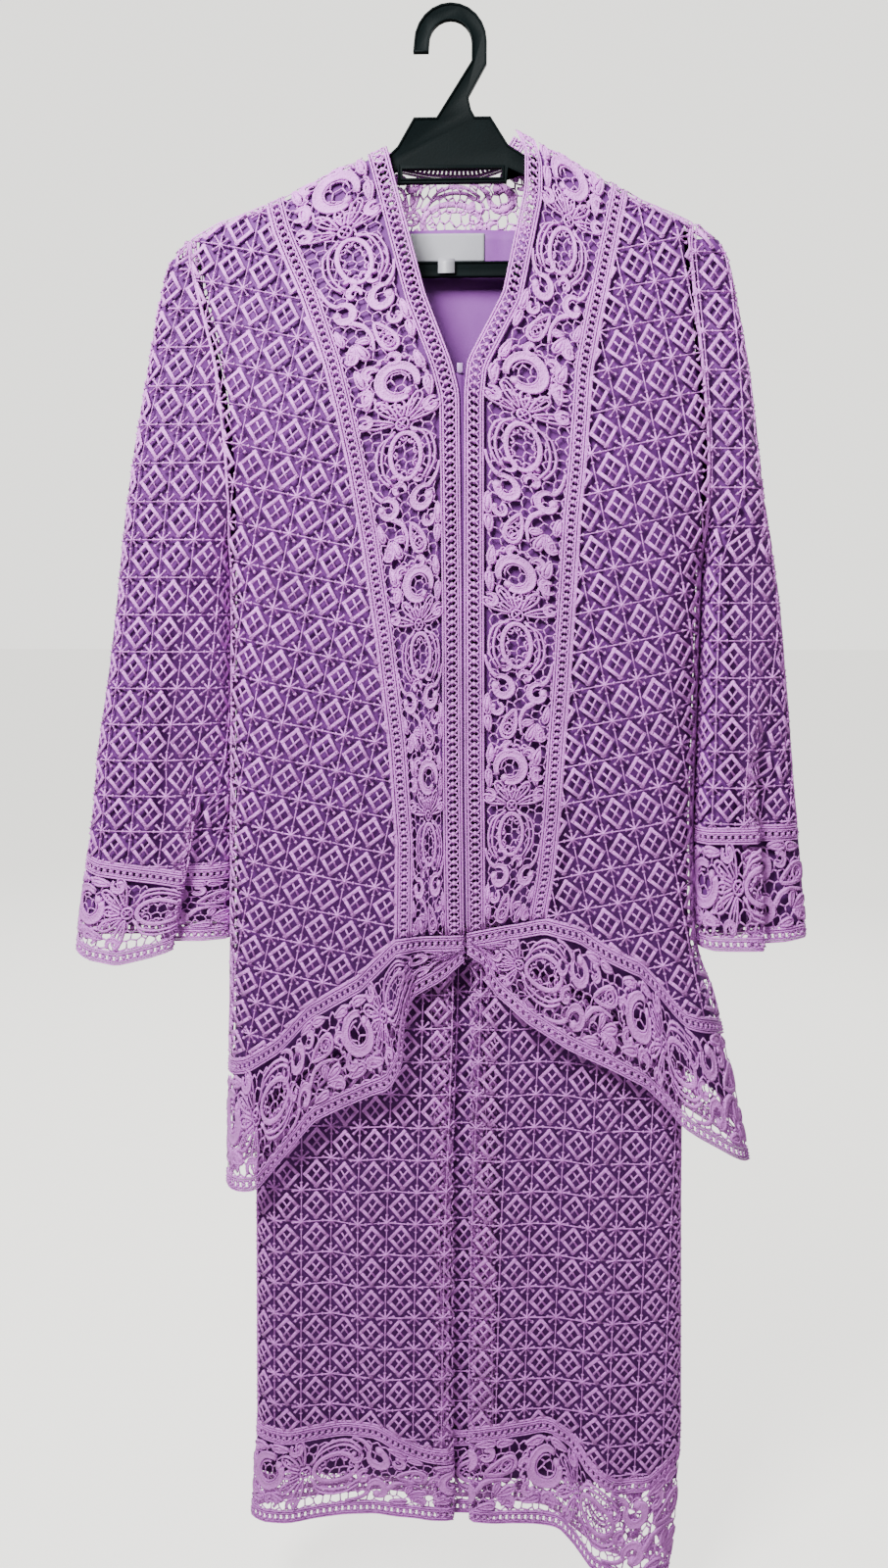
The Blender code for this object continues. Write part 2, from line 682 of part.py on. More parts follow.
panel = grid_between(
    shoulder(-194.5, -137, FROM_SIDE), shifted(hem_left_edge, up=2 * SEAM_ROOM),
    at_shares(left_side_line(-152.8, -802.6), DOWN), band_left_edge, FROM_SIDE, DOWN)
front_left_panel = lifted(panel, body_front)
sheet("front_left", front_left_panel, LACE_WALL, "lace")
panel = grid_between(
    shoulder(134, 182.5, FROM_BAND), shifted(hem_right_edge, up=2 * SEAM_ROOM),
    band_right_edge, at_shares(right_side_line(-144.3, -764.6), DOWN), FROM_BAND, DOWN)
sheet("front_right", lifted(panel, body_front), LACE_WALL, "lace")

collar_low = [(-136, -128.2)] + list(COLLAR_LOW[1:-1]) + [(133, -122.2)]
collar_shares = [0.0, 0.02, 0.06, 0.16, 0.3, 0.43, 0.57, 0.7, 0.84, 0.94, 0.98, 1.0]
collar_edge = at_shares(collar_low, collar_shares)
back_top = shoulder(-194.5, -138.5, (0, 0.1, 0.3, 0.65, 1))[:-1] + shifted(collar_edge, up=-0.7)
back_top += shoulder(135.5, 182.5, (0, 0.4, 0.75, 0.9, 1))[1:]
back_length = [math.dist(a, b) for a, b in zip(back_top, back_top[1:])]
back_across = [sum(back_length[:i]) / sum(back_length) for i in range(len(back_top))]
panel = grid_between(
    back_top, shifted(at_shares(HEM_BACK_UPPER, back_across), up=2 * SEAM_ROOM),
    at_shares(left_side_line(-152.8, -802.6), DOWN_PLAIN),
    at_shares(right_side_line(-144.3, -764.6), DOWN_PLAIN), back_across, DOWN_PLAIN)
sheet("back", lifted(panel, body_back), LACE_WALL, "lace")


# Cut lace borders of the top
def rail(points):
    return lambda place: pick(points, place)


def on_front(place):
    return body_front(*place)


def on_back(place):
    return body_back(*place)


def drawn_in(points, room, way):
    """An edge moved across by a seam's room."""
    return [(x + way * room, z) for x, z in points]


whole = list(range(len(DOWN)))
border("band_left", whole, range(3, 13), rail(drawn_in(band_left_edge, 2 * SEAM_ROOM, 1)),
       rail(at_shares(BAND_LEFT_INNER, DOWN)), on_front)
border("band_right", whole, range(3, 13), rail(drawn_in(band_right_edge, 2 * SEAM_ROOM, -1)),
       rail(at_shares(BAND_RIGHT_INNER, DOWN)), on_front)
border("band_back", list(range(len(collar_shares))), range(2, 9), rail(collar_edge),
       rail(at_shares(COLLAR_TOP, collar_shares)), on_back)
low_shares = [0.82 * share for share in FROM_SIDE] + [0.88, 0.94, 1.0]
border("hem_front_left", list(range(len(low_shares))), range(3, 9),
       rail(shifted(hem_left_edge, up=-2 * SEAM_ROOM) + [(-24, -690.5), (-6, -690), (14, -690)]),
       rail(at_shares(HEM_LEFT_LOWER, low_shares)), on_front)
low_shares = [0.0, 0.10] + [0.2 + 0.8 * share for share in FROM_BAND]
border("hem_front_right", list(range(len(low_shares))), range(1, 7),
       rail([(16.2, -688), (45, -681)] + shifted(hem_right_edge, up=-2 * SEAM_ROOM)),
       rail(at_shares(HEM_RIGHT_LOWER, low_shares)), on_front)
border("hem_back", list(range(len(back_across))), range(3, 16),
       rail(shifted(at_shares(HEM_BACK_UPPER, back_across), up=-2 * SEAM_ROOM)),
       rail(at_shares(HEM_BACK_LOWER, back_across)), on_back)

# Lining of the top, ending well above the hem
IN = LINING_INSET


def lining_front(x, z):
    return body_front(x, z, IN)


def lining_back(x, z):
    return body_back(x, z, IN)


LINING_LEFT_END = ((-183, -868), (-140, -826), (-84, -785), (-46, -768), (6, -662))
LINING_RIGHT_END = ((24, -656), (66, -712), (132, -750), (193, -798), (240, -838))
LINING_BACK_END = ((-183, -868), (-109, -785), (15, -712), (132, -758), (240, -838))
LINING_BACK_TOP = ((-134, -137), (-90, -146), (-40, -144), (5, -143), (50, -144), (90, -144), (131, -133))
panel = grid_between(
    shoulder(-189, -57, FROM_SIDE, IN + SHOULDER_DROP), at_shares(LINING_LEFT_END, FROM_SIDE),
    at_shares(left_side_line(-156.0, -868.0, IN + 2.0), DOWN_PLAIN),
    at_shares([(-57, -95)] + shifted(BAND_LEFT_INNER[1:-1], across=-8.0) + [(6, -662)], DOWN_PLAIN),
    FROM_SIDE, DOWN_PLAIN)
sheet("lining_front_left", lifted(panel, lining_front), LINING_WALL, "lining")
panel = grid_between(
    shoulder(68, 177, FROM_BAND, IN + SHOULDER_DROP), at_shares(LINING_RIGHT_END, FROM_BAND),
    at_shares([(68, -92)] + shifted(BAND_RIGHT_INNER[2:-1], across=10.0) + [(24, -656)], DOWN_PLAIN),
    at_shares(right_side_line(-149.0, -838.0, IN + 2.5), DOWN_PLAIN), FROM_BAND, DOWN_PLAIN)
sheet("lining_front_right", lifted(panel, lining_front), LINING_WALL, "lining")
lining_top = shoulder(-189, -140, (0, 0.3, 0.7, 1), IN + SHOULDER_DROP)[:-1] + at_shares(
    LINING_BACK_TOP, (0, 0.12, 0.3, 0.5, 0.7, 0.88, 1)) + shoulder(
    137, 177, (0, 0.3, 0.7, 1), IN + SHOULDER_DROP)[1:]
lining_length = [math.dist(a, b) for a, b in zip(lining_top, lining_top[1:])]
lining_across = [sum(lining_length[:i]) / sum(lining_length) for i in range(len(lining_top))]
panel = grid_between(
    lining_top, at_shares(LINING_BACK_END, lining_across),
    at_shares(left_side_line(-156.0, -868.0, IN + 2.0), DOWN_PLAIN),
    at_shares(right_side_line(-149.0, -838.0, IN + 2.5), DOWN_PLAIN), lining_across, DOWN_PLAIN)
sheet("lining_back", lifted(panel, lining_back), LINING_WALL, "lining")


# Sleeves, cuffs and sleeve linings
def cuff_edge(table, front):
    first = 0 if front else SLEEVE_PLACES
    last = SLEEVE_PLACES if front else 7
    return rail([(place, value_at(table, first + place)) for place in range(last + 1)])


for side, word, rows, top, low in (
        (-1, "left", LEFT_SLEEVE, LEFT_CUFF_TOP, LEFT_CUFF_LOW),
        (1, "right", RIGHT_SLEEVE, RIGHT_CUFF_TOP, RIGHT_CUFF_LOW)):
    heights = [row[0] for row in rows if row[0] > -595.0]
    columns = list(range(SLEEVE_PLACES + 1))
    grid = [[sleeve_front(side, place, z) for place in columns] for z in heights]
    grid.append([sleeve_front(side, place, value_at(top, place) + 0.9) for place in columns])
    sheet(f"sleeve_{word}_front", grid, LACE_WALL, "lace")
    columns = list(range(8))
    grid = [[sleeve_back(side, place, z) for place in columns] for z in heights]
    grid.append([sleeve_back(side, place, value_at(top, SLEEVE_PLACES + place) + 0.9) for place in columns])
    sheet(f"sleeve_{word}_back", grid, LACE_WALL, "lace")
    border(f"cuff_{word}_front", list(range(SLEEVE_PLACES + 1)), (2, 3, 4, 11), cuff_edge(low, True), cuff_edge(top, True),
           lambda place, side=side: sleeve_front(side, *place))
    border(f"cuff_{word}_back", list(range(8)), (2, 3, 4), cuff_edge(low, False), cuff_edge(top, False),
           lambda place, side=side: sleeve_back(side, *place))
    heights = [row[0] for row in rows if -640.0 < row[0] < -245.0][::2] + [SLEEVE_LINING_END]
    grid = [[sleeve_lining_front(side, place, z) for place in range(9)] for z in heights]
    sheet(f"sleeve_lining_{word}_front", grid, LINING_WALL, "lining")
    grid = [[sleeve_lining_back(side, place, z) for place in range(6)] for z in heights]
    sheet(f"sleeve_lining_{word}_back", grid, LINING_WALL, "lining")

# Skirt: waistband, loops over the bar, lace with the inverted pleat, borders and lining
waist_ups = (-262.0, -300.0)
grid = []
for z in waist_ups:
    left, _, right = (value_at(SKIRT_SIDES, z, column) for column in (1, 2, 3))
    grid.append([(left, -1.4, z), (left + 2, -9, z), (left + 12, -16.5, z), (right - 12, -16.5, z),
                 (right - 2, -9, z), (right, -1.4, z)])
sheet("waistband_front", grid, WAIST_WALL, "lace")
grid = [[(x, 1.4 + (-1.4 - y) * 0.38, z) for x, y, z in row] for row in grid]
sheet("waistband_back", grid, WAIST_WALL, "lace")
LOOP_PATH = (
    (-14.3, -292), (-14.3, -268), (-10, -248), (-4.6, -205), (-4.2, -182), (-4.2, -169), (-2.6, -166.8),
    (0, -166), (2.6, -166.8), (4.2, -169), (4.2, -182), (4.4, -205), (5.0, -262), (5.0, -292),
)
for word, middle in zip(("left", "right"), LOOP_PLACES):
    grid = [[(middle - 3.0, y, z), (middle + 3.0, y, z)] for y, z in LOOP_PATH]
    sheet(f"hanging_loop_{word}", grid, RIBBON_WALL, "ribbon")


def skirt_border_edge(section, count, table, pleat=None):
    """An edge's place and height for each column, straight across the pleat's folded layers."""
    heights = {place: value_at(table, section(place, -1180.0)[0]) for place in range(count + 1)}
    if pleat:
        first, last = pleat
        for place in range(first + 1, last):
            heights[place] = heights[first] + (heights[last] - heights[first]) * (place - first) / (last - first)
    return rail(sorted(heights.items()))


top_front = skirt_border_edge(skirt_front, SKIRT_PLACES, SKIRT_BORDER_TOP, PLEAT_SPAN)
low_front = skirt_border_edge(skirt_front, SKIRT_PLACES, SKIRT_HEM, PLEAT_SPAN)
top_back = skirt_border_edge(skirt_back, SKIRT_BACK_PLACES, SKIRT_BORDER_TOP)
low_back = skirt_border_edge(skirt_back, SKIRT_BACK_PLACES, SKIRT_HEM)
skirt_ups = [SKIRT_TOP, -420, -560, -700, -790, -870, -950, -1020, -1080]
grid = [[skirt_front(place, z) for place in range(SKIRT_PLACES + 1)] for z in skirt_ups]
grid.append([skirt_front(place, top_front(place)[1] + 1.0) for place in range(SKIRT_PLACES + 1)])
sheet("skirt_front", grid, LACE_WALL, "lace")
grid = [[skirt_back(place, z) for place in range(SKIRT_BACK_PLACES + 1)] for z in skirt_ups[::2]]
grid.append([skirt_back(place, top_back(place)[1] + 0.5) for place in range(SKIRT_BACK_PLACES + 1)])
sheet("skirt_back", grid, LACE_WALL, "lace")
border("skirt_hem_front", list(range(SKIRT_PLACES + 1)), (2, 3, 4, 5, 6, 19, 20, 21, 22), low_front,
       top_front, lambda place: skirt_front(*place))
border("skirt_hem_back", list(range(SKIRT_BACK_PLACES + 1)), range(2, 9), low_back, top_back, lambda place: skirt_back(*place))
for word, face in (("front", -1), ("back", 1)):
    grid = [[skirt_lining(place, z, face) for place in range(9)]
            for z in (-306.0, -520.0, -740.0, -960.0, SKIRT_LINING_END)]
    sheet(f"skirt_lining_{word}", grid, LINING_WALL, "lining")

# Label at the back of the neck and the size tab over the bar
grid = [[body_back(x, z, IN) for x in spread(*LABEL_SIDES, 4)] for z in LABEL_UPS]
grid = [[(x, y - 1.5, z) for x, y, z in row] for row in grid]
sheet("neck_label", grid, LABEL_WALL, "label")
label_y = grid[1][2][1]
TAB_PATH = ((label_y - 0.1, -166.9), (6.0, -166.4), (-2.6, -167.2), (-4.2, -169.6), (-4.3, -178.0))
grid = [[(TAB_SIDES[0], y, z), (TAB_SIDES[1], y, z)] for y, z in TAB_PATH]
sheet("size_tab", grid, LABEL_WALL, "label")

# Closed zip behind the centre front, with its slider at the neck
ZIP_LINE = ((10, -256), (12.2, -300), (12.3, -414), (13.2, -565), (15.0, -680))
grid = []
for x, z in ZIP_LINE:
    row = []
    for across in (-4.0, 4.0):
        _, y, _ = body_front(x + across, z)
        row.append((x + across, y + 2.8, z))
    grid.append(row)
sheet("zip", grid, 1.0, "lace")
slider_x, slider_z = 9.8, -252.0
slider_y = body_front(slider_x, slider_z)[1] + 1.0
half = (2.4, 1.6, 3.4)
corners = [(slider_x + a * half[0], slider_y + b * half[1], slider_z + c * half[2])
           for a in (-1, 1) for b in (-1, 1) for c in (-1, 1)]
box_faces = [(0, 1, 3, 2), (4, 6, 7, 5), (0, 4, 5, 1), (2, 3, 7, 6), (0, 2, 6, 4), (1, 5, 7, 3)]
new_object("zip_slider", corners, box_faces, "metal", parts)
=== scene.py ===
"""Looks of a lace kurung set on a black plastic hanger.

Tables are in millimetres, +Z up, the front of the garment toward -Y, as in the solids.
Lace is drawn flat as cords, tapes and beads and then laid on the cloth's surface.
"""
import math

import bmesh
import bpy
import numpy as np
from bpy.props import FloatProperty, FloatVectorProperty, PointerProperty
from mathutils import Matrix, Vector


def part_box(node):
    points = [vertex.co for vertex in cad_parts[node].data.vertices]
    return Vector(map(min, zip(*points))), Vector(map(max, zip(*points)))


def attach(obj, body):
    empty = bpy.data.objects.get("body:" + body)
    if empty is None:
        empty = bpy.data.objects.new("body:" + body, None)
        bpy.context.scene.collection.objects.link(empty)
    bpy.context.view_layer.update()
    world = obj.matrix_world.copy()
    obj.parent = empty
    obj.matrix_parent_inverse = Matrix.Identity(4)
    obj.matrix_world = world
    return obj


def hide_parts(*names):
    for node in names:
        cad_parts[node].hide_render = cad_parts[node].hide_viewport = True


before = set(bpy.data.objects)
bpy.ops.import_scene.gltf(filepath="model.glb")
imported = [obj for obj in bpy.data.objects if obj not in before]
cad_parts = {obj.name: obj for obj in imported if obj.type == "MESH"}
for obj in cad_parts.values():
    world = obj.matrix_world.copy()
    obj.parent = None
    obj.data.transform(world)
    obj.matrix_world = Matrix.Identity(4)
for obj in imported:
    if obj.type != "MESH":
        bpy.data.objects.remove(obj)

bl_info = {
    "name": "Lace Kurung Set",
    "version": (1, 0, 0),
    "blender": (4, 5, 0),
    "location": "3D View > Sidebar > Lace Set",
    "description": "Finishes a lace top and skirt on a plastic hanger",
    "category": "Object",
}

MM = 0.001

# Depths of the cloth layers, as in the solids but for the pleat's opening and the linings' edges
SEAM_HALF = 1.0
LINING_SEAM = 0.45
LINING_INSET = 3.8
SHOULDER_DEPTH = 9.0
FRONT_DEPTH = 36.0
BACK_DEPTH = 18.0
SHOULDER_CURL = 8.0
DEPTH_REACH = 190.0
SIDE_CURL = 28.0
ARMHOLE_SHARE = 0.8
SKIRT_FRONT = 20.5
SKIRT_BACK = 8.0
PLEAT_TUCK = 29.0
PLEAT_LAYER = 5.2
PLEAT_OPEN = 7.0
SLEEVE_TUCK = 15.0
SLEEVE_LAYER = 6.8
SLEEVE_LINING_END = -680.0
SLEEVE_LINING_TOP = {-1: -166.0, 1: -156.0}
SLEEVE_LINING_EDGE = 0.3
SKIRT_TOP = -300.6
SKIRT_LINING_END = -1190.0

# Shoulder line: across, up
SHOULDER_LINE = (
    (-198, -152), (-173, -139), (-162, -136), (-138, -127), (-121, -120), (-95, -108),
    (-70, -97), (-47, -87), (0, -84), (49, -76), (62, -83), (77, -91), (95, -100),
    (122, -113), (143, -126), (168, -136), (186, -144),
)
# Sides of the body from the shoulder's end: up, across
LEFT_SIDE = (
    (-152, -195), (-169, -195), (-204, -187), (-248, -175), (-310, -168), (-353, -167),
    (-383, -171), (-490, -174), (-612, -178), (-738, -182), (-830, -186), (-921, -190),
)
RIGHT_SIDE = (
    (-144, 183), (-154, 180), (-204, 186), (-253, 192), (-310, 197), (-383, 198),
    (-600, 198), (-670, 201), (-700, 204), (-717, 209), (-740, 219), (-772, 228), (-827, 243), (-889, 256),
)
# Front bands from the shoulder down: across, up
BAND_LEFT_OUTER = (
    (-137, -127), (-131, -150), (-121, -174), (-110, -198), (-101, -223), (-91, -252), (-84, -280),
    (-74, -326), (-64, -384), (-54, -455), (-45, -535), (-40, -613), (-41, -690),
)
BAND_RIGHT_OUTER = (
    (134, -122), (128, -152), (121, -187), (114, -221), (108, -256), (104, -327), (101, -363),
    (98, -429), (95, -490), (92, -535), (89, -592), (85, -635), (79, -672),
)
BAND_LEFT_INNER = (
    (-46, -87), (-31, -142), (-16, -197), (4, -248), (9.6, -269), (11.7, -414), (12.7, -565), (14.4, -688),
)
BAND_RIGHT_INNER = (
    (50, -76), (57, -95), (57, -120), (41, -198), (15, -247), (12.9, -269), (13.1, -414),
    (13.9, -565), (15.8, -686),
)
# Hem borders: across, up
HEM_LEFT_UPPER = (
    (-185, -803), (-164, -794), (-137, -776), (-112, -747), (-71, -722), (-41, -691), (14, -689),
)
HEM_LEFT_LOWER = (
    (-190, -917), (-158, -910), (-136, -882), (-109, -848), (-84, -835), (-46, -818),
    (-36, -798), (-34, -762), (-29, -743), (-4, -729), (14, -712),
)
HEM_RIGHT_UPPER = (
    (16.2, -687), (79, -673), (106, -680), (127, -695), (155, -708), (168, -722), (180, -738),
    (190, -749), (213, -757), (226, -765),
)
HEM_RIGHT_LOWER = (
    (16.6, -706), (29, -714), (38, -739), (66, -762), (98, -783), (132, -799), (161, -814),
    (178, -831), (193, -848), (227, -869), (254, -887),
)
HEM_BACK_UPPER = (
    (-185, -803), (-164, -790), (-112, -735), (-71, -705), (15, -670), (106, -690), (155, -716),
    (190, -745), (226, -765),
)
HEM_BACK_LOWER = (
    (-190, -917), (-160, -895), (-109, -835), (-46, -790), (15, -760), (66, -775), (132, -808),
    (178, -838), (254, -887),
)
# Neck band at the back: across, up
COLLAR_TOP = ((-45, -88), (-34, -94), (-10, -96.5), (20, -97), (38, -92), (49, -78))
COLLAR_LOW = ((-136, -128), (-90, -161), (-40, -179), (5, -184), (50, -178), (95, -158), (133, -123))

# Soft folds: top across, top up, bottom across, bottom up, half width, height
FRONT_FOLDS = (
    (-165, -170, -128, -690, 24, 4.5),
    (-70, -420, -84, -800, 18, 3.0),
    (-40, -700, -44, -830, 12, 5.0),
    (135, -160, 152, -720, 24, 4.5),
    (62, -520, 105, -760, 18, 3.0),
    (188, -640, 205, -860, 14, 4.0),
)
SMALL_FOLDS = (
    (-150, -330, -112, -640, 9, 1.8),
    (-120, -420, -92, -700, 8, -1.5),
    (-172, -420, -150, -760, 8, 1.7),
    (118, -300, 128, -620, 9, -1.4),
    (160, -330, 182, -650, 8, 1.7),
    (-100, -640, -108, -840, 7, 1.8),
    (150, -660, 172, -820, 8, -1.6),
    (52, -620, 66, -760, 7, 1.6),
)
BACK_FOLDS = (
    (-120, -240, -150, -800, 22, 2.6),
    (-20, -260, -40, -720, 26, 2.2),
    (80, -250, 110, -720, 20, 2.8),
    (160, -320, 200, -800, 14, 2.4),
)
SKIRT_FOLDS = (
    (-95, -780, -48, -1170, 17, 6.5),
    (124, -800, 138, -1200, 15, 8.0),
)
SKIRT_SMALL_FOLDS = (
    (-132, -420, -138, -1180, 14, 4.5),
    (-100, -620, -92, -1150, 13, -3.4),
    (-34, -700, -14, -1210, 12, 4.2),
    (46, -700, 40, -1180, 13, 3.6),
    (70, -640, 88, -1190, 13, -4.2),
    (100, -700, 108, -1210, 8, -2.6),
    (166, -640, 174, -1200, 12, 4.0),
)
SKIRT_STEPS = 19
SET_BACK_X = -30.0
SET_BACK = 6.0

# Sleeves: up, outer edge, fold edge, folded share; the inner edge follows the body's side
SEAM_ROOM = 0.4
LEFT_SLEEVE = (
    (-153.5, -199.5, -198.5, 0.0), (-160, -207, -203, 0.0), (-170, -215, -205, 0.0), (-205, -224, -205, 0.0),
    (-248, -233, -205, 0.0), (-310, -246, -205, 0.0), (-353, -254, -205, 0.0),
    (-385, -259, -205, 0.0), (-430, -265, -196, 0.0),
    (-490, -275, -186, 0.15), (-545, -286, -189, 0.5), (-568, -288.5, -192, 0.68), (-590, -291, -195, 0.85),
    (-642, -299, -210, 1.0), (-700, -309, -223, 1.0), (-722, -311, -224, 1.0),
)
RIGHT_SLEEVE = (
    (-145.5, 188, 186, 0.0), (-151, 198, 190, 0.0), (-160, 209, 200, 0.0), (-205, 220, 205, 0.0),
    (-253, 230, 212, 0.0), (-310, 238, 220, 0.0), (-353, 245, 227, 0.0),
    (-385, 252, 232, 0.0), (-430, 261, 238, 0.2),
    (-506, 271, 243, 0.55), (-533, 274, 244.5, 0.75), (-560, 277, 246, 0.9), (-604, 283, 249, 1.0),
    (-650, 289, 253, 1.0), (-704, 295, 258, 1.0), (-712, 296, 258.5, 1.0),
)
# Cuff edges: place along the front section and on along the back, up
CUFF_TOP = {
    -1: ((0, -627), (3, -636), (5, -642), (14, -638), (17, -634), (21, -627)),
    1: ((0, -604), (5, -602), (14, -602), (21, -604)),
}
CUFF_LOW = {
    -1: ((0, -704), (1, -711), (3, -720), (5, -707), (9, -702), (14, -701), (21, -704)),
    1: ((0, -703), (5, -702), (9, -702), (14, -694), (21, -703)),
}
# Skirt: up, left side, pleat, right side
SKIRT_SIDES = (
    (-262, -150, 14, 182), (-300, -152, 14, 184), (-600, -158, 14, 192), (-915, -165, 14.5, 199),
    (-1147, -170, 15, 206), (-1240, -178, 15.5, 204), (-1300, -180, 15.7, 197),
)
SKIRT_BORDER_TOP = (
    (-180, -1146), (-110, -1138), (-60, -1133), (-31, -1152), (4, -1160), (15, -1145), (24, -1134),
    (89, -1128), (110, -1142), (123, -1163), (149, -1183), (175, -1179), (204, -1158),
)
SKIRT_HEM = (
    (-180, -1240), (-145, -1234), (-109, -1228), (-61, -1222), (12, -1228), (73, -1229), (99, -1234),
    (116, -1252), (130, -1271), (160, -1286), (204, -1284),
)
# Linings' lower and upper edges: across, up
LINING_LEFT_END = ((-183, -868), (-140, -826), (-84, -785), (-46, -768), (6, -662))
LINING_RIGHT_END = ((24, -656), (66, -712), (132, -750), (193, -798), (240, -838))
LINING_BACK_END = ((-183, -868), (-109, -785), (15, -712), (132, -758), (240, -838))
LINING_BACK_TOP = ((-134, -137), (-90, -146), (-40, -144), (5, -143), (50, -144), (90, -144), (131, -133))

LOOP_PLACES = (-132.0, 148.0)
LOOP_PATH = (
    (-14.3, -292), (-14.3, -268), (-10, -248), (-4.6, -205), (-4.2, -182), (-4.2, -169), (-2.6, -166.8),
    (0, -166), (2.6, -166.8), (4.2, -169), (4.2, -182), (4.4, -205), (5.0, -262), (5.0, -292),
)
LABEL_SIDES = (-35.0, 27.5)
LABEL_UPS = (-146.0, -166.0)
TAB_SIDES = (-7.5, 5.0)
ZIP_LINE = ((10, -256), (12.2, -300), (12.3, -414), (13.2, -565), (15.0, -680))

# Cross sections of cords and tapes: place across and height, as shares
ROUND = ((-1.0, 0.0), (0.0, 1.0), (1.0, 0.0))
FLAT = ((-1.0, 0.0), (-0.6, 1.0), (0.6, 1.0), (1.0, 0.0))
RIDGED = ((-1.0, 0.0), (-0.62, 1.0), (0.0, 0.5), (0.62, 1.0), (1.0, 0.0))
RIMMED = ((-1.0, 0.0), (-0.82, 1.0), (-0.56, 0.62), (0.56, 0.62), (0.82, 1.0), (1.0, 0.0))

# Lattice: radius, height and sides of beads; width and height of the edge cord, and the step along it
TIP_BEAD = (1.75, 2.0, 4)
STAR_BEAD = (1.6, 1.9, 5)
EDGE_CORD = (2.2, 1.0)
EDGE_STEP = 6.0

# A border's motifs are drawn on a zone of this height, in tiles of this length
ZONE = 52.0
TILE = 147.0
STRIP_OVERLAP = 0.6
CORD_HEIGHT = 1.8
BURIED = -0.5
BURIED_MOTIF = -0.3

NET_SEED = 7

# Flat cuts in metres
SLEEVE_CUT = 0.49
SLEEVE_LINING_CUT = 0.44
SKIRT_CUT = 0.89
SKIRT_LINING_CUT = (0.41, 0.90)
WAISTBAND_CUT = 0.038
# A sleeve lining's widest part over its mean width, and the least area stated as a share of the cut
TAPER = 1.15
LEAST_CUT_SHARE = 0.31

# Stage, in metres: the camera as fitted to the photo with its angles down and sideways, lights and floor
CAMERA_PLACE = (0.030, -0.950, -0.4205)
CAMERA_TURN = (9, 2)
CAMERA_LENS = 27.135
PALE_WALL = (0.80, 0.79, 0.745, 1.0)
ROOM_LIGHT = 0.14
BACKDROP_GLOW = 2.5
FLOOR_GLOW = 2.2
FLOOR_SIZE = 40.0
FLOOR_UP = -1.335
# Name, place, size and power
LIGHTS = (
    ("key", (-0.5, -0.85, 0.45), 0.45, 54.0), ("fill", (1.3, -1.3, 0.4), 1.2, 7.0),
    ("back_left", (-1.5, 1.8, 0.9), 1.5, 62.0), ("back_right", (1.6, 1.6, 0.4), 1.5, 46.0),
)
LIGHT_AIM = (0.0, 0.0, -0.1)


def column(rows, key, index=1):
    """A table's column at keys, straight between its rows."""
    table = np.array(sorted(rows, key=lambda row: row[0]), dtype=float)
    return np.interp(key, table[:, 0], table[:, index])


def quarter(share):
    return np.sqrt(1.0 - (1.0 - np.clip(share, 0.0, 1.0)) ** 2)


def smooth(share):
    share = np.clip(share, 0.0, 1.0)
    return share * share * (3.0 - 2.0 * share)


def fold_height(folds, x, z):
    """What soft folds add at places."""
    total = np.zeros_like(x)
    for x0, z0, x1, z1, half, height in folds:
        share = (z - z0) / (z1 - z0)
        ends = smooth((share + 0.3) / 0.4) * smooth((1.3 - share) / 0.4)
        total += height * ends * np.exp(-((x - x0 - (x1 - x0) * share) / half) ** 2)
    return total


def body_depth(x, z, full, inset):
    """Depth of the top's cloth from the hanger's plane."""
    drop = column(SHOULDER_LINE, x) - z - inset
    left = x - column(LEFT_SIDE, z) - inset
    right = column(RIGHT_SIDE, z) - x - inset
    curl = (SHOULDER_DEPTH - 0.5 * inset) * quarter(drop / SHOULDER_CURL)
    deep = curl + (full - SHOULDER_DEPTH - 0.5 * inset) * smooth((drop + 10.0) / DEPTH_REACH)
    under = smooth((-345.0 - z) / 60.0)
    kept = ARMHOLE_SHARE * (1.0 - under)
    return deep * (kept + (1.0 - kept) * quarter(np.minimum(left, right) / SIDE_CURL))


def body_front(x, z, inset=0.0):
    deep = body_depth(x, z, FRONT_DEPTH, inset)
    near = np.minimum(1.0, deep / 12.0)
    if inset:
        folds = 0.5 * fold_height(SMALL_FOLDS, x, z) - 2.0
        back = SET_BACK * smooth((-580.0 - z) / 60.0)
    else:
        folds = fold_height(FRONT_FOLDS + SMALL_FOLDS, x, z) - 2.0
        back = SET_BACK * smooth((x - SET_BACK_X + 7.0) / 14.0) * smooth((70.0 - x) / 30.0)
        back = back * smooth((-660.0 - z) / 60.0)
    folds = folds * smooth((-150.0 - z) / 90.0)
    return -SEAM_HALF - np.maximum(deep + near * (folds - back), 0.0)


def body_back(x, z, inset=0.0):
    deep = body_depth(x, z, BACK_DEPTH, inset)
    near = np.minimum(1.0, deep / 12.0)
    return SEAM_HALF + np.maximum(deep + near * (0.4 if inset else 1.0) * fold_height(BACK_FOLDS, x, z), 0.0)


def sleeve_edge_depth(side, z, face):
    """Depth where the sleeve meets the armhole, nothing below it."""
    edge = column(LEFT_SIDE if side < 0 else RIGHT_SIDE, z)
    depth = body_front(edge, z) if face < 0 else body_back(edge, z)
    return depth * (1.0 - smooth((-345.0 - z) / 50.0))


def stacked(points):
    return np.stack([np.stack(np.broadcast_arrays(x, y), axis=-1) for x, y in points], axis=1)


def sleeve_ends(side, z, face):
    rows = LEFT_SLEEVE if side < 0 else RIGHT_SLEEVE
    outer, fold, share = (column(rows, z, k) for k in (1, 2, 3))
    inner = column(LEFT_SIDE if side < 0 else RIGHT_SIDE, z) + side * SEAM_ROOM
    edge, none = sleeve_edge_depth(side, z, face), np.zeros_like(z)
    ends = (outer, inner, none, edge) if side < 0 else (inner, outer, edge, none)
    return ends, outer, inner, fold, share


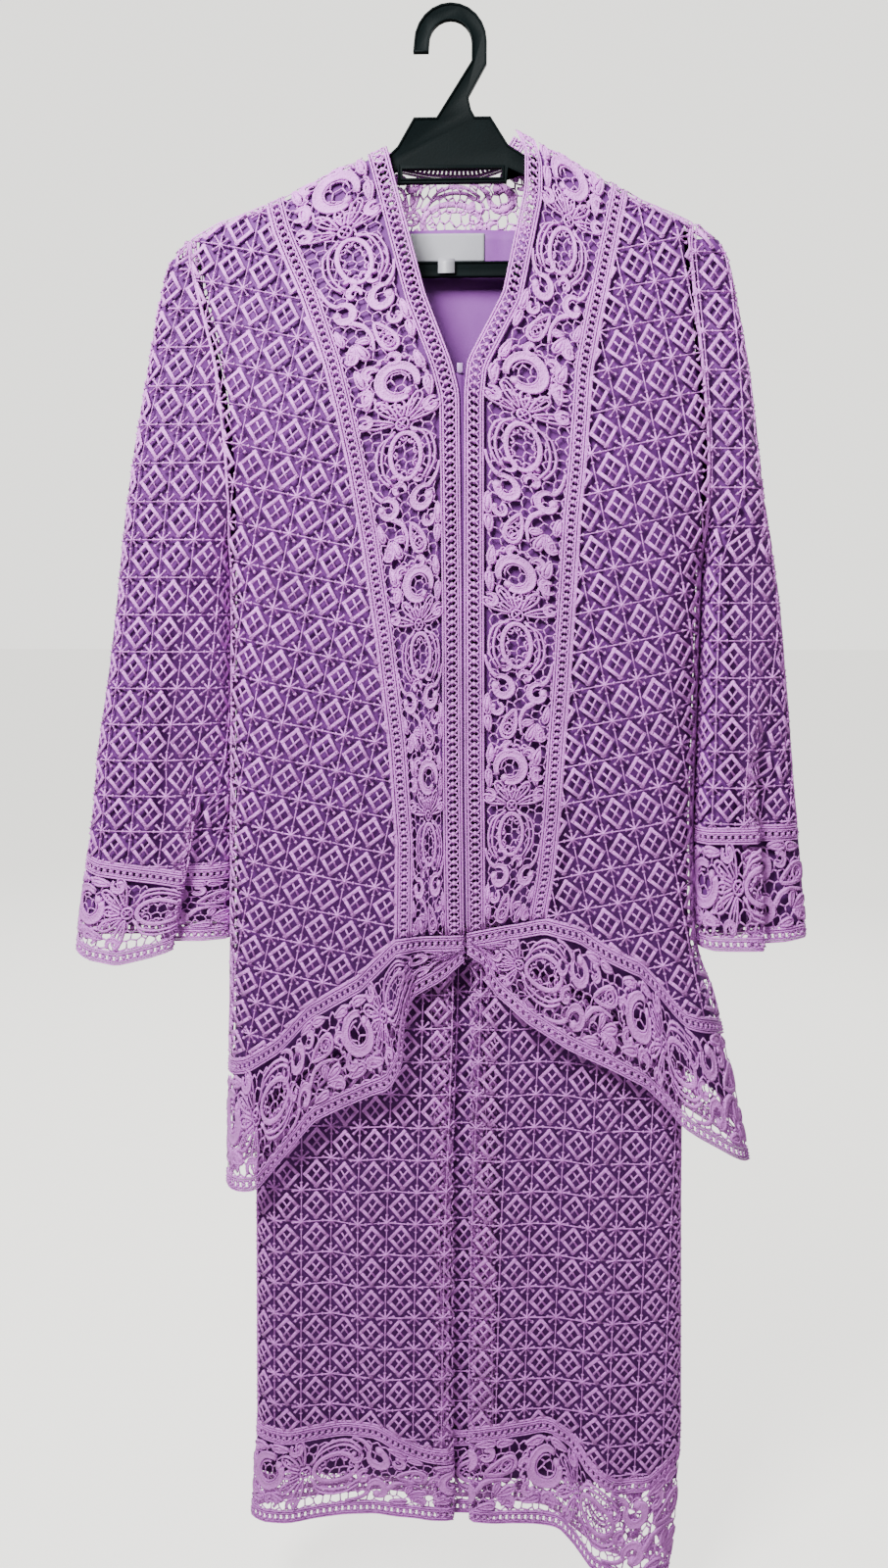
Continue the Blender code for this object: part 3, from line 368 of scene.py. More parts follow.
def sleeve_front(side, z):
    """Front of a sleeve: one layer, the part folded under it, and the layer behind."""
    (start, end, start_depth, end_depth), outer, inner, fold, share = sleeve_ends(side, z, -1)
    way = np.where(fold > start, 1.0, -1.0)
    full = np.minimum(10.0 + 15.0 * smooth((-150.0 - z) / 180.0), 4.0 + 0.8 * abs(outer - inner))
    places = (0, 0.025, 0.12, 0.28, 0.44, 0.56, 0.60, 0.64, 0.69, 0.74, 0.79, 0.84, 0.91, 0.975, 1)
    rounds = (0, 0.45, 0.9, 1, 1, 1, 1, 1, 1, 1, 1, 0.98, 0.9, 0.45, 0)
    flat = stacked([
        (start + (end - start) * at, (start_depth if at < 0.5 else end_depth) * (1 - near) - full * near)
        for at, near in zip(places, rounds)])
    wide = fold - start
    under, behind = full - SLEEVE_LAYER, full - 1.75 * SLEEVE_LAYER
    tuck = fold - way * SLEEVE_TUCK
    folded = stacked([
        (start, start_depth),
        (start + way * 1.5, start_depth * 0.5 - 0.5 * full),
        (start + wide * 0.16, -0.92 * full),
        (start + wide * 0.45, -full),
        (start + wide * 0.75, -full),
        (fold - way * 2.5, -full),
        (fold, -full + 0.5 * SLEEVE_LAYER),
        (fold - way * 2.5, -under),
        (tuck + way * 2.2, -under),
        (tuck, -0.5 * (under + behind)),
        (tuck + way * 2.2, -behind),
        (fold - way * 2.0, -behind),
        (fold + (end - fold) * 0.5, -behind),
        (end - way * 2.0, end_depth * 0.4 - 0.45 * behind),
        (end, end_depth),
    ])
    stepped = np.stack([flat[..., 0], folded[..., 1]], axis=-1)
    first, second = smooth(2.0 * share)[:, None, None], smooth(2.0 * share - 1.0)[:, None, None]
    section = flat + (stepped - flat) * first
    section = section + (folded - stepped) * second
    section[..., 1] -= SEAM_HALF
    return section


def sleeve_back(side, z):
    (start, end, start_depth, end_depth), outer, inner, _, _ = sleeve_ends(side, z, 1)
    full = np.minimum(10.0, 3.0 + abs(outer - inner))
    places = (1, 0.97, 0.86, 0.6, 0.35, 0.12, 0.03, 0)
    rounds = (0, 0.5, 0.95, 1, 1, 0.95, 0.5, 0)
    section = stacked([
        (start + (end - start) * at, (start_depth if at < 0.5 else end_depth) * (1 - near) + full * near)
        for at, near in zip(places, rounds)])
    section[..., 1] += SEAM_HALF
    return section


def sleeve_lining_front(side, z):
    """Lining before the back of a sleeve; it steps behind the folded layers."""
    (start, end, start_depth, end_depth), _, _, fold, share = sleeve_ends(side, z, -1)
    way = np.where(end > start, 1.0, -1.0)
    full = 10.0 + 15.0 * smooth((-150.0 - z) / 180.0) - LINING_INSET
    half = start + (end - start) * 0.5
    folded = share > 0.0
    step = np.where(folded, way * np.minimum(way * half, way * (fold - way * (SLEEVE_TUCK + 5.0))), half)
    behind = np.where(folded, full - 1.75 * SLEEVE_LAYER, full)
    start_depth = np.maximum(0.7 * start_depth, -0.55 * full)
    end_depth = np.maximum(0.7 * end_depth, -0.55 * behind)
    edge = SLEEVE_LINING_EDGE
    near, far = start + way * (edge + 1.5), end - way * (edge + 1.5)
    section = stacked([
        (start + way * edge, start_depth),
        (near, start_depth * 0.4 - 0.5 * full),
        (start + way * (edge + 9.0), -0.90 * full),
        (0.5 * (start + way * (edge + 7.0) + step), -full),
        (step - way * 2.0, -full),
        (step + way * 2.0, -behind),
        (0.5 * (step + way * 2.0 + far), -behind),
        (far, end_depth * 0.4 - 0.5 * behind),
        (end - way * edge, end_depth),
    ])
    section[..., 1] -= LINING_SEAM
    return section


def sleeve_lining_back(side, z):
    _, outer, inner, _, _ = sleeve_ends(side, z, 1)
    way = np.where(inner > outer, 1.0, -1.0)
    start, end = outer + way * SLEEVE_LINING_EDGE, inner - way * SLEEVE_LINING_EDGE
    full = 10.0 - LINING_INSET
    depth = np.minimum(sleeve_edge_depth(side, z, 1) * 0.7, full)
    section = stacked([
        (end, depth), (end - way * 3.0, 0.6 * full + 0.4 * depth), (end + (start - end) * 0.25, full),
        (end + (start - end) * 0.7, full), (start + way * 3.0, 0.6 * full), (start, np.zeros_like(z)),
    ])
    section[..., 1] += LINING_SEAM
    return section


def skirt_front(z):
    """Front of the skirt with its inverted pleat, from the left side to the right."""
    left, pleat, right = (column(SKIRT_SIDES, z, k) for k in (1, 2, 3))
    first, second, third = SKIRT_FRONT, SKIRT_FRONT - PLEAT_LAYER, SKIRT_FRONT - 2 * PLEAT_LAYER

    def half(edge):
        return ((edge, -first + 2.4), (edge + 4.8, -second), (PLEAT_TUCK - 5.0, -second),
                (PLEAT_TUCK, -0.5 * (second + third)), (PLEAT_TUCK - 5.0, -third))

    points = [(left, -SEAM_HALF), (left + 2, -0.4 * first), (left + 14, -0.84 * first)]
    for share in np.linspace(0.16, 0.86, SKIRT_STEPS):
        x = left + (pleat - left) * share
        points.append((x, -first + 1.0 - fold_height(SKIRT_FOLDS + SKIRT_SMALL_FOLDS, x, z)))
    points.append((pleat - PLEAT_OPEN - 3.8, -first))
    points += [(pleat - across, y) for across, y in half(PLEAT_OPEN)]
    points += [(pleat, -third)]
    points += [(pleat + across, y) for across, y in reversed(half(2.2))]
    points.append((pleat + 6.0, -first))
    for share in np.linspace(0.12, 0.84, SKIRT_STEPS):
        x = pleat + (right - pleat) * share
        points.append((x, -first + 1.0 - fold_height(SKIRT_FOLDS + SKIRT_SMALL_FOLDS, x, z)))
    points += [(right - 14, -0.84 * first), (right - 2, -0.4 * first), (right, -SEAM_HALF)]
    return stacked(points)


def skirt_back(z):
    left, _, right = (column(SKIRT_SIDES, z, k) for k in (1, 2, 3))
    points = [(left, SEAM_HALF), (left + 2, 4.2), (left + 12, SKIRT_BACK - 0.6)]
    for n, share in enumerate((0.16, 0.3, 0.43, 0.57, 0.7, 0.84, 0.92)):
        swell = 1.6 * (n % 2) * smooth((-500.0 - z) / 500.0)
        points.append((left + (right - left) * share, SKIRT_BACK + swell))
    points += [(right - 12, SKIRT_BACK - 0.6), (right - 2, 4.2), (right, SEAM_HALF)]
    return stacked(points)


def skirt_lining(z, face):
    left, _, right = (column(SKIRT_SIDES, z, k) for k in (1, 2, 3))
    deep = 5.6 if face < 0 else 4.4
    left, right = left + 1.2, right - 1.2
    points = [(left, LINING_SEAM * face), (left + 3, 0.8 * deep * face), (left + 14, deep * face)]
    points += [(left + (right - left) * share, deep * face) for share in (0.25, 0.5, 0.75)]
    points += [(right - 14, deep * face), (right - 3, 0.8 * deep * face), (right, LINING_SEAM * face)]
    return stacked(points)


def evenly(line, count):
    """A line's points taken again at even distances."""
    line = np.asarray(line, dtype=float)
    length = np.concatenate([[0.0], np.cumsum(np.linalg.norm(np.diff(line, axis=0), axis=1))])
    at = np.linspace(0.0, length[-1], count)
    return np.stack([np.interp(at, length, line[:, k]) for k in range(line.shape[1])], axis=1)


def softened(grid, axis, passes):
    """Corners rounded along one way of a grid, with its ends kept."""
    grid = np.moveaxis(grid, axis, 0).copy()
    for _ in range(passes):
        grid[1:-1] = 0.5 * grid[1:-1] + 0.25 * (grid[:-2] + grid[2:])
    return np.moveaxis(grid, 0, axis)


def line_length(line):
    return float(np.linalg.norm(np.diff(np.asarray(line, dtype=float), axis=0), axis=1).sum())


class Cloth:
    """A cloth's surface as a grid of points, read at flat places in millimetres."""

    def __init__(self, points, face, locate):
        self.points, self.locate = points, locate
        across, up = np.gradient(points, axis=1), -np.gradient(points, axis=0)
        normal = np.cross(across, up)
        normal /= np.maximum(np.linalg.norm(normal, axis=2, keepdims=True), 1e-9)
        self.turned = normal[..., 1].mean() * face < 0
        self.normals = -normal if self.turned else normal
        self.normals[..., 2] *= 0.5

    def at(self, flat, height=0.0):
        """Points of the surface at flat places, raised off it by a height."""
        row, col = self.locate(np.asarray(flat, dtype=float))
        rows, cols = self.points.shape[:2]
        row, col = np.clip(row, 0, rows - 1.001), np.clip(col, 0, cols - 1.001)
        i, j = row.astype(int), col.astype(int)
        s, t = (row - i)[:, None], (col - j)[:, None]

        def mixed(grid):
            top = grid[i, j] * (1 - t) + grid[i, j + 1] * t
            low = grid[i + 1, j] * (1 - t) + grid[i + 1, j + 1] * t
            return top * (1 - s) + low * s

        return mixed(self.points) + mixed(self.normals) * np.reshape(height, (-1, 1))


def sheet_of_depths(depth, face, x0, x1, z0, z1, step=2.0):
    """A cloth read by its place across and up, whose depth is a function of the two."""
    xs, zs = np.arange(x0, x1 + step, step), np.arange(z1, z0 - step, -step)
    x, z = np.meshgrid(xs, zs)
    points = np.stack([x, depth(x.ravel(), z.ravel()).reshape(x.shape), z], axis=-1)
    points[..., 1] = softened(points[..., 1], 1, 2)
    return Cloth(points, face, lambda flat: ((z1 - flat[:, 1]) / step, (flat[:, 0] - x0) / step))


def sheet_of_sections(section, face, z0, z1, count, soft=4, step=5.0):
    """A cloth read by the distance along its section and its place up."""
    zs = np.arange(z1, z0 - step, -step)
    lines = section(zs)
    flat = np.stack([evenly(line, count) for line in lines])
    flat = softened(softened(flat, 1, soft), 0, 6)
    points = np.stack([flat[..., 0], flat[..., 1], np.broadcast_to(zs[:, None], flat.shape[:2])], axis=-1)
    lengths = np.linalg.norm(np.diff(flat, axis=1), axis=2).sum(axis=1)
    steps = np.linalg.norm(np.diff(lines, axis=1), axis=2)
    places = np.concatenate([np.zeros((len(zs), 1)), np.cumsum(steps, axis=1)], axis=1)
    places *= (lengths / places[:, -1])[:, None]

    def locate(flat):
        row = (z1 - flat[:, 1]) / step
        length = np.interp(row, np.arange(len(zs)), lengths)
        return row, flat[:, 0] / length * (count - 1)

    cloth = Cloth(points, face, locate)
    cloth.width_at = lambda z: np.interp((z1 - z) / step, np.arange(len(zs)), lengths)
    cloth.across = lambda place, z: float(np.interp(
        place, np.arange(places.shape[1]), places[int(np.clip(round((z1 - z) / step), 0, len(zs) - 1))]))
    return cloth


class Band:
    """The stretch of a cloth between two edge lines, flat as along and across."""

    def __init__(self, parent, low, top, face, count=160, rows=13):
        low, top = evenly(low, count), evenly(top, count)
        shares = np.linspace(1.0, 0.0, rows)
        flat = top[None] * shares[:, None, None] + low[None] * (1 - shares[:, None, None])
        points = parent.at(flat.reshape(-1, 2)).reshape(rows, count, 3)
        points = np.stack([evenly(line, count) for line in points])
        middle = points[rows // 2]
        self.length = line_length(middle)
        self.widths = np.linalg.norm(np.diff(points, axis=0), axis=2).sum(axis=0)
        self.cloth = Cloth(points, face, lambda flat: (
            (1.0 - flat[:, 1]) * (rows - 1), flat[:, 0] / self.length * (count - 1)))

    def width_at(self, along):
        return np.interp(along, np.linspace(0, self.length, len(self.widths)), self.widths)

    def from_low(self, flat):
        return np.stack([flat[:, 0], flat[:, 1] / self.width_at(flat[:, 0])], axis=1)

    def from_top(self, flat):
        return np.stack([flat[:, 0], 1.0 - flat[:, 1] / self.width_at(flat[:, 0])], axis=1)

    def between(self, low, top, zone):
        """Places of the middle zone, which is drawn zone wide and fitted between the strips."""
        def place(flat):
            width = self.width_at(flat[:, 0])
            inner = np.maximum(width - low - top, 2.0)
            return np.stack([flat[:, 0], (low + flat[:, 1] / zone * inner) / width], axis=1)
        return place


class Threads:
    """Cords, tapes and beads drawn flat, to be laid on a cloth together."""

    def __init__(self):
        self.flat, self.heights, self.faces, self.count = [], [], [], 0

    def add(self, flat, heights, faces):
        self.flat.append(flat)
        self.heights.append(heights)
        self.faces += [face + self.count for face in faces]
        self.count += len(flat)

    def straight(self, starts, ends, width, height, profile=ROUND, stations=2):
        """Many straight cords at once."""
        if not len(starts):
            return
        way = ends - starts
        length = np.linalg.norm(way, axis=1, keepdims=True)
        way = way / np.maximum(length, 1e-9)
        side = np.stack([-way[:, 1], way[:, 0]], axis=1)
        offsets = np.array([p[0] for p in profile]) * width * 0.5
        high = np.array([p[1] for p in profile]) * height
        shares = np.linspace(0.0, 1.0, stations)
        middle = starts[:, None] + (ends - starts)[:, None] * shares[None, :, None]
        flat = middle[:, :, None] + side[:, None, None] * offsets[None, None, :, None]
        n, k = len(starts), len(profile)
        heights = np.broadcast_to(high, (n, stations, k))
        base = (np.arange(n) * stations * k)[:, None]
        faces = []
        for i in range(stations - 1):
            for j in range(k):
                m = (j + 1) % k
                faces.append(base + np.array([i * k + j, (i + 1) * k + j, (i + 1) * k + m, i * k + m]))
        faces.append(base + np.arange(k))
        faces.append(base + (stations - 1) * k + np.arange(k)[::-1])
        self.add(flat.reshape(-1, 2), heights.reshape(-1).copy(), faces)

    def beads(self, centres, radius, height, sides=6):
        """Small domes."""
        if not len(centres):
            return
        angles = np.arange(sides) * 2 * math.pi / sides
        rim = np.stack([np.cos(angles), np.sin(angles)], axis=1) * radius
        shape = np.concatenate([rim, [[0.0, 0.0]]])
        flat = centres[:, None] + shape[None]
        high = np.array([0.0] * sides + [height])
        base = (np.arange(len(centres)) * (sides + 1))[:, None]
        faces = [base + np.array([j, (j + 1) % sides, sides]) for j in range(sides)]
        faces.append(base + np.arange(sides)[::-1])
        self.add(flat.reshape(-1, 2), np.broadcast_to(high, flat.shape[:2]).reshape(-1).copy(), faces)

    def tape(self, line, width, height, profile=RIDGED, closed=False):
        """One curved tape; width may be a list of shares along it."""
        line = np.asarray(line, dtype=float)
        n, k = len(line), len(profile)
        before, after = np.roll(line, 1, axis=0), np.roll(line, -1, axis=0)
        if not closed:
            before[0], after[-1] = line[0], line[-1]
        way = after - before
        way /= np.maximum(np.linalg.norm(way, axis=1, keepdims=True), 1e-9)
        side = np.stack([-way[:, 1], way[:, 0]], axis=1)
        widths = np.interp(np.linspace(0, 1, n), np.linspace(0, 1, np.size(width)), np.ravel(width))
        offsets = np.array([p[0] for p in profile])[None, :] * widths[:, None] * 0.5
        flat = line[:, None] + side[:, None] * offsets[..., None]
        high = np.broadcast_to(np.array([p[1] for p in profile]) * height, (n, k))
        faces = []
        for i in range(n if closed else n - 1):
            a, b = i * k, (i + 1) % n * k
            faces += [np.array([[a + j, b + j, b + (j + 1) % k, a + (j + 1) % k]]) for j in range(k)]
        if not closed:
            faces += [np.array([list(range(k))]), np.array([list(range(n * k - 1, (n - 1) * k - 1, -1))])]
        self.add(flat.reshape(-1, 2), high.reshape(-1).copy(), faces)

    def join(self, other, shift=0.0):
        """Adds another drawing, moved along."""
        self.add(np.concatenate(other.flat) + (shift, 0.0), np.concatenate(other.heights), other.faces)


def inside(outline, places):
    """Which places lie within a closed outline."""
    found = np.zeros(len(places), bool)
    x, y = places[:, 0], places[:, 1]
    for (x0, y0), (x1, y1) in zip(outline, np.roll(outline, -1, axis=0)):
        crosses = (y0 > y) != (y1 > y)
        at = x0 + (y - y0) / (y1 - y0 if y1 != y0 else 1e-9) * (x1 - x0)
        found ^= crosses & (x < at)
    return found


def kept_within(outline, starts, ends):
    """Straight cords cut off where they leave an outline."""
    first, last = inside(outline, starts), inside(outline, ends)
    keep = first | last
    starts, ends, first, last = starts[keep], ends[keep], first[keep], last[keep]
    low, high = np.zeros(len(starts)), np.ones(len(starts))
    for _ in range(10):
        middle = 0.5 * (low + high)
        here = inside(outline, starts + (ends - starts) * middle[:, None])
        same = here == first
        low, high = np.where(same, middle, low), np.where(same, high, middle)
    cut = starts + (ends - starts) * low[:, None]
    starts, ends = np.where(first[:, None], starts, cut), np.where(last[:, None], ends, cut)
    long_enough = np.linalg.norm(ends - starts, axis=1) > 0.8
    return starts[long_enough], ends[long_enough]


def lattice(outline, step, rise, shift=(0.0, 0.0)):
    """The lattice of stars and windowed diamonds, cut to an outline."""
    sizes = bpy.context.scene.lace_set_sizes
    outline = np.asarray(outline, dtype=float)
    low, high = outline.min(axis=0), outline.max(axis=0)
    step, rise = np.array(step, dtype=float), np.array(rise, dtype=float)
    turn = np.linalg.inv(np.stack([step, rise], axis=1))
    corners = np.array([[low[0], low[1]], [low[0], high[1]], [high[0], low[1]], [high[0], high[1]]])
    spans = (corners - low) @ turn.T
    first, last = np.floor(spans.min(axis=0)) - 1, np.ceil(spans.max(axis=0)) + 1
    i, j = np.meshgrid(np.arange(first[0], last[0] + 1), np.arange(first[1], last[1] + 1))
    origins = low + np.array(shift) + i.ravel()[:, None] * step + j.ravel()[:, None] * rise

    def at(u, v):
        return u * step + v * rise

    made = Threads()

    def cords(lines, width, height, profile, stations=2):
        starts = np.concatenate([origins + a for a, _ in lines])
        ends = np.concatenate([origins + b for _, b in lines])
        made.straight(*kept_within(outline, starts, ends), width, height, profile, stations)

    # Diamond: four ridged sides and a cross that leaves four windows
    wide, tip = sizes.frame_width / MM, sizes.diamond_share
    centre = at(0.5, 0.5)
    points = [centre + (at(u, v) - centre) * tip for u, v in ((0.5, 0), (1, 0.5), (0.5, 1), (0, 0.5))]
    frame_lines, cross_lines = [], []
    middles = []
    for a, b in zip(points, points[1:] + points[:1]):
        way = (b - a) / np.linalg.norm(b - a)
        inward = np.array([-way[1], way[0]])
        inward *= 1.0 if np.dot(inward, centre - a) > 0 else -1.0
        frame_lines.append((a + inward * wide * 0.5, b + inward * wide * 0.5))
        middles.append(0.5 * (a + b) + inward * wide)
    cross_lines += [(middles[0], middles[2]), (middles[1], middles[3])]
    cords(frame_lines, wide, 1.25, RIDGED)
    cords(cross_lines, sizes.cross_width / MM, 1.0, ROUND)
    # Star: four cords crossed at its centre, with a bead on each tip
    reach = sizes.star_reach / MM
    arms, tips = [], []
    for turn_by in range(4):
        way = np.array([math.cos(turn_by * math.pi / 4), math.sin(turn_by * math.pi / 4)])
        spread = way[0] * step / np.linalg.norm(step) + way[1] * rise / np.linalg.norm(rise)
        spread *= reach / np.linalg.norm(spread)
        arms.append((-spread, spread))
        tips += [-spread, spread]
    cords(arms, sizes.arm_width / MM, 1.15, ROUND)
    net = [(at(0, 0), at(1, 0)), (at(0, 0), at(0, 1))]
    cords(net, sizes.net_width / MM, 0.8, ROUND)
    beads = np.concatenate([origins + tip_place for tip_place in tips])
    made.beads(beads[inside(outline, beads)], *TIP_BEAD)
    made.beads(origins[inside(outline, origins)], *STAR_BEAD)
    # A cord round the panel's edge
    edge = evenly(np.concatenate([outline, outline[:1]]), int(line_length(outline) / EDGE_STEP))[:-1]
    made.tape(edge, *EDGE_CORD, ROUND, closed=True)
    return made


def arc(centre, radius, first, last, count=12, end_radius=None):
    """Part of a ring or spiral, by angles in degrees."""
    angles = np.radians(np.linspace(first, last, count))
    radii = np.linspace(radius, radius if end_radius is None else end_radius, count)
    return np.stack([centre[0] + radii * np.cos(angles), centre[1] + radii * np.sin(angles)], axis=1)


def petal(root, angle, length, width, count=12):
    """A closed petal outline from its root."""
    t = np.linspace(0.0, 2 * math.pi, count, endpoint=False)
    along = 0.5 * length * (1 - np.cos(t))
    across = 0.5 * width * np.sin(t) * (0.35 + 0.65 * (along / length))
    turn = math.radians(angle)
    x = root[0] + along * math.cos(turn) - across * math.sin(turn)
    y = root[1] + along * math.sin(turn) + across * math.cos(turn)
    return np.stack([x, y], axis=1)


def curved(points, count=16):
    """A smooth line through a few points."""
    points = np.asarray(points, dtype=float)
    return evenly(softened(evenly(points, 4 * count), 0, 12), count)


def around(centre, distance, angle):
    """A place at a distance and an angle in degrees from a centre."""
    turn = math.radians(angle)
    return centre[0] + distance * math.cos(turn), centre[1] + distance * math.sin(turn)


def scroll(made, centre, radius, first, last, widths, blob=3.2, share=0.55):
    """A wide ridged scroll that curls in to a round end."""
    made.tape(arc(centre, radius, first, last, 14, share * radius), widths, 1.7, RIMMED)
    made.beads(np.array([around(centre, share * radius, last)]), blob, 2.4, 7)


def leaf(made, root, angle, length, width):
    """A leaf with a raised edge and a filled middle."""
    made.tape(petal(root, angle, length, width, 10), 2.3, CORD_HEIGHT, ROUND, closed=True)
    made.tape([around(root, 0.12 * length, angle), around(root, 0.62 * length, angle),
               around(root, 0.95 * length, angle)], [0.30 * width, 0.55 * width, 0.12 * width], 1.0, FLAT)


def scallops(made, centre, radius, first, last, size, step):
    """Small arches round the outside of a ring."""
    for angle in np.arange(first, last, step):
        made.tape(arc(around(centre, radius, angle), size, angle - 95, angle + 95, 7), 2.1, 1.6, ROUND)


def filled_net(made, outline, pitch, turn):
    """Crossed fine cords that fill an outline."""
    outline = np.asarray(outline)
    middle = outline.mean(axis=0)
    for angle in (turn, turn + 90):
        way = np.array(around((0, 0), 1.0, angle))
        side = np.array([-way[1], way[0]])
        at = np.arange(-6, 7)[:, None] * pitch
        starts = middle + side * at - way * 40.0
        whole = [(s + way * d, s + way * (d + 2.0)) for s in starts for d in np.arange(0, 80, 2.0)]
        first, last = np.array([w[0] for w in whole]), np.array([w[1] for w in whole])
        both = inside(outline, first) & inside(outline, last)
        made.straight(first[both], last[both], 1.2, 1.2, ROUND)


def flower_tile():
    """One repeat of the border: frilled ring, flower, looped petals, scrolls, paisley and leaves."""
    made = Threads()
    # Frilled ring with an open eye
    eye = (20.5, 30.0)
    made.tape(arc(eye, 12.0, 62, 382, 24, 11.0), [4.0, 6.4, 6.8, 6.4, 4.6], CORD_HEIGHT, RIMMED)
    made.tape(arc(eye, 7.6, 75, 390, 18), 1.6, 1.7, ROUND)
    scallops(made, eye, 16.6, 70, 380, 2.4, 18)
    made.beads(np.array([around(eye, 9.5, 30)]), 3.6, 2.6, 8)
    # Flower round a small wheel, its petals open with a rib down each
    hub = (50.0, 28.0)
    made.tape(arc(hub, 4.0, 0, 330, 10), 2.2, 2.2, ROUND, closed=True)
    for angle in (45, 135):
        made.tape([around(hub, 3.4, angle), around(hub, 3.4, angle + 180)], 1.3, 1.9, ROUND)
    for angle, length, width in ((180, 12, 8), (143, 18, 8.5), (217, 18, 8.5), (106, 21, 8.5),
                                 (254, 21, 8.5)):
        root = around(hub, 5.2, angle)
        made.tape(petal(root, angle, length, width, 12), 2.1, CORD_HEIGHT, ROUND, closed=True)
        made.tape([around(root, 2.0, angle), around(root, length - 3.0, angle)], 1.3, 1.2, ROUND)
    # Open petal below the flower, with small arches inside it
    loop = (73.0, 28.0)
    turns = np.radians(np.linspace(0, 360, 25)[:-1])
    ring = np.stack([loop[0] + 16.5 * np.cos(turns), loop[1] + 10.5 * np.sin(turns)], axis=1)
    made.tape(ring, 3.6, CORD_HEIGHT, RIDGED, closed=True)
    for angle in range(20, 360, 40):
        turn = math.radians(angle)
        spot = (loop[0] + 13.2 * math.cos(turn), loop[1] + 7.6 * math.sin(turn))
        made.tape(arc(spot, 2.0, angle + 90, angle + 270, 6), 1.6, 1.4, ROUND)
    # Double arms that leave the flower, pass the petal and curl in on both sides
    for way in (-1, 1):
        for n in range(2):
            line = [(54 + 2 * n, 28 + way * (5 + n)), (60, 28 + way * (13.5 + 3.2 * n)),
                    (72, 28 + way * (17.0 + 3.6 * n)), (83, 28 + way * (16.5 + 3.4 * n)),
                    (92, 28 + way * (10.5 + 3.0 * n))]
            made.tape(curved(line, 12), 2.3, CORD_HEIGHT, ROUND)
        scroll(made, (88, 28 + way * 8.0), 4.8, way * 30, way * -220, [2.4, 3.6, 3.0], 2.2)
    # Wide scroll, and the comma with its long tail
    scroll(made, (106, 38), 9.0, 150, 455, [3.0, 5.6, 6.2, 5.6], 4.0)
    made.tape(curved([(98.5, 42), (95, 46.5), (90, 49.5), (83, 51)], 9), [4.0, 2.6, 1.8], 1.7)
    scroll(made, (108, 11), 8.0, 200, -95, [3.0, 5.2, 5.8, 5.2], 3.8)
    made.tape(curved([(101, 8.5), (97, 4.5), (91, 2.5), (83, 1.5)], 9), [3.8, 2.6, 1.8], 1.7)
    made.tape(curved([(115, 13), (121, 21), (130, 24), (141, 22)], 14), [4.6, 3.4, 2.0], 1.8)
    # Paisley with a net in it and a round eye
    body = petal((122, 28), 18, 23, 15, 16)
    made.tape(body, 2.8, 1.9, RIDGED, closed=True)
    filled_net(made, petal((123.5, 28.5), 18, 20, 11.5, 16), 3.2, 40)
    made.tape(arc((137, 33), 4.2, 0, 330, 10), 2.2, 2.2, ROUND, closed=True)
    # Leaves and small curls along both edges
    for root, angle, length, width in (((132, 12), 20, 14, 8), ((132, 10), -22, 13, 7), ((130, 13), 75, 9, 6),
                                       ((112, 49), 2, 15, 7), ((36, 47), 175, 14, 7), ((3, 46), 5, 13, 7),
                                       ((34, 8), 168, 15, 8), ((4, 7), 12, 14, 8), ((118, 2.5), 8, 13, 6),
                                       ((140, 48), 176, 12, 7)):
        leaf(made, root, angle, length, width)
    for centre, radius, first, last in (
            ((24, 8), 5.6, -60, 210), ((42, 5), 4.8, 220, -60), ((9, 15), 5.0, 90, 350),
            ((42, 47), 4.8, 140, 420), ((96, 21), 5.0, 60, 330), ((141, 6), 5.0, 200, -60),
            ((122, 42), 5.0, -150, 120), ((3, 32), 4.4, -60, 200)):
        scroll(made, centre, radius, first, last, [2.0, 3.8, 4.2, 3.4], 2.3)
    return made


def bride_net(length, zone, seed):
    """A net of thin cords in uneven six-sided cells, behind the motifs."""
    rng = np.random.default_rng(seed)
    wide, tall = 8.0, 6.6
    made = Threads()
    spots = {}

    def spot(i, j):
        if (i, j) not in spots:
            x = i * wide * 0.5 + rng.uniform(-1.2, 1.2)
            y = j * tall + (tall * 0.33 if (i + j) % 2 else 0.0) + rng.uniform(-1.0, 1.0)
            spots[i, j] = (min(max(x, 0.0), length), min(max(y, 0.0), zone))
        return spots[i, j]

    starts, ends = [], []
    columns, rows = int(length / (wide * 0.5)), int(zone / tall) + 1
    for i in range(columns + 1):
        for j in range(rows):
            if i < columns:
                starts.append(spot(i, j))
                ends.append(spot(i + 1, j))
            if (i + j) % 2 and j < rows - 1:
                starts.append(spot(i, j))
                ends.append(spot(i, j + 1))
    made.straight(np.array(starts), np.array(ends), 1.3, 0.8, ROUND)
    return made


def beaded_strip(length, wide=12.5):
    """A border's edge strip: double cords with a row of beads and short bars between them."""
    made = Threads()
    count = max(int(length / 6.0), 3)
    for across in (0.9, 2.9, wide - 2.9, wide - 0.9):
        line = np.stack([np.linspace(0, length, count), np.full(count, across)], axis=1)
        made.tape(line, 1.9, 1.5, ROUND)
    pitch = length / max(round(length / 5.6), 1)
    places = np.arange(0.5 * pitch, length, pitch)
    middle = np.stack([places, np.full(len(places), 0.5 * wide)], axis=1)
    made.beads(middle, 2.35, 2.3, 6)
    for way in (-1, 1):
        inner, outer = middle + (0, way * 1.4), middle + (0.5 * pitch, way * (0.5 * wide - 3.6))
        outer = np.minimum(outer, (length, wide))
        made.straight(inner, outer, 1.5, 1.3, ROUND)
        other = np.maximum(middle + (-0.5 * pitch, way * (0.5 * wide - 3.6)), (0, 0))
        made.straight(inner, other, 1.5, 1.3, ROUND)
    return made


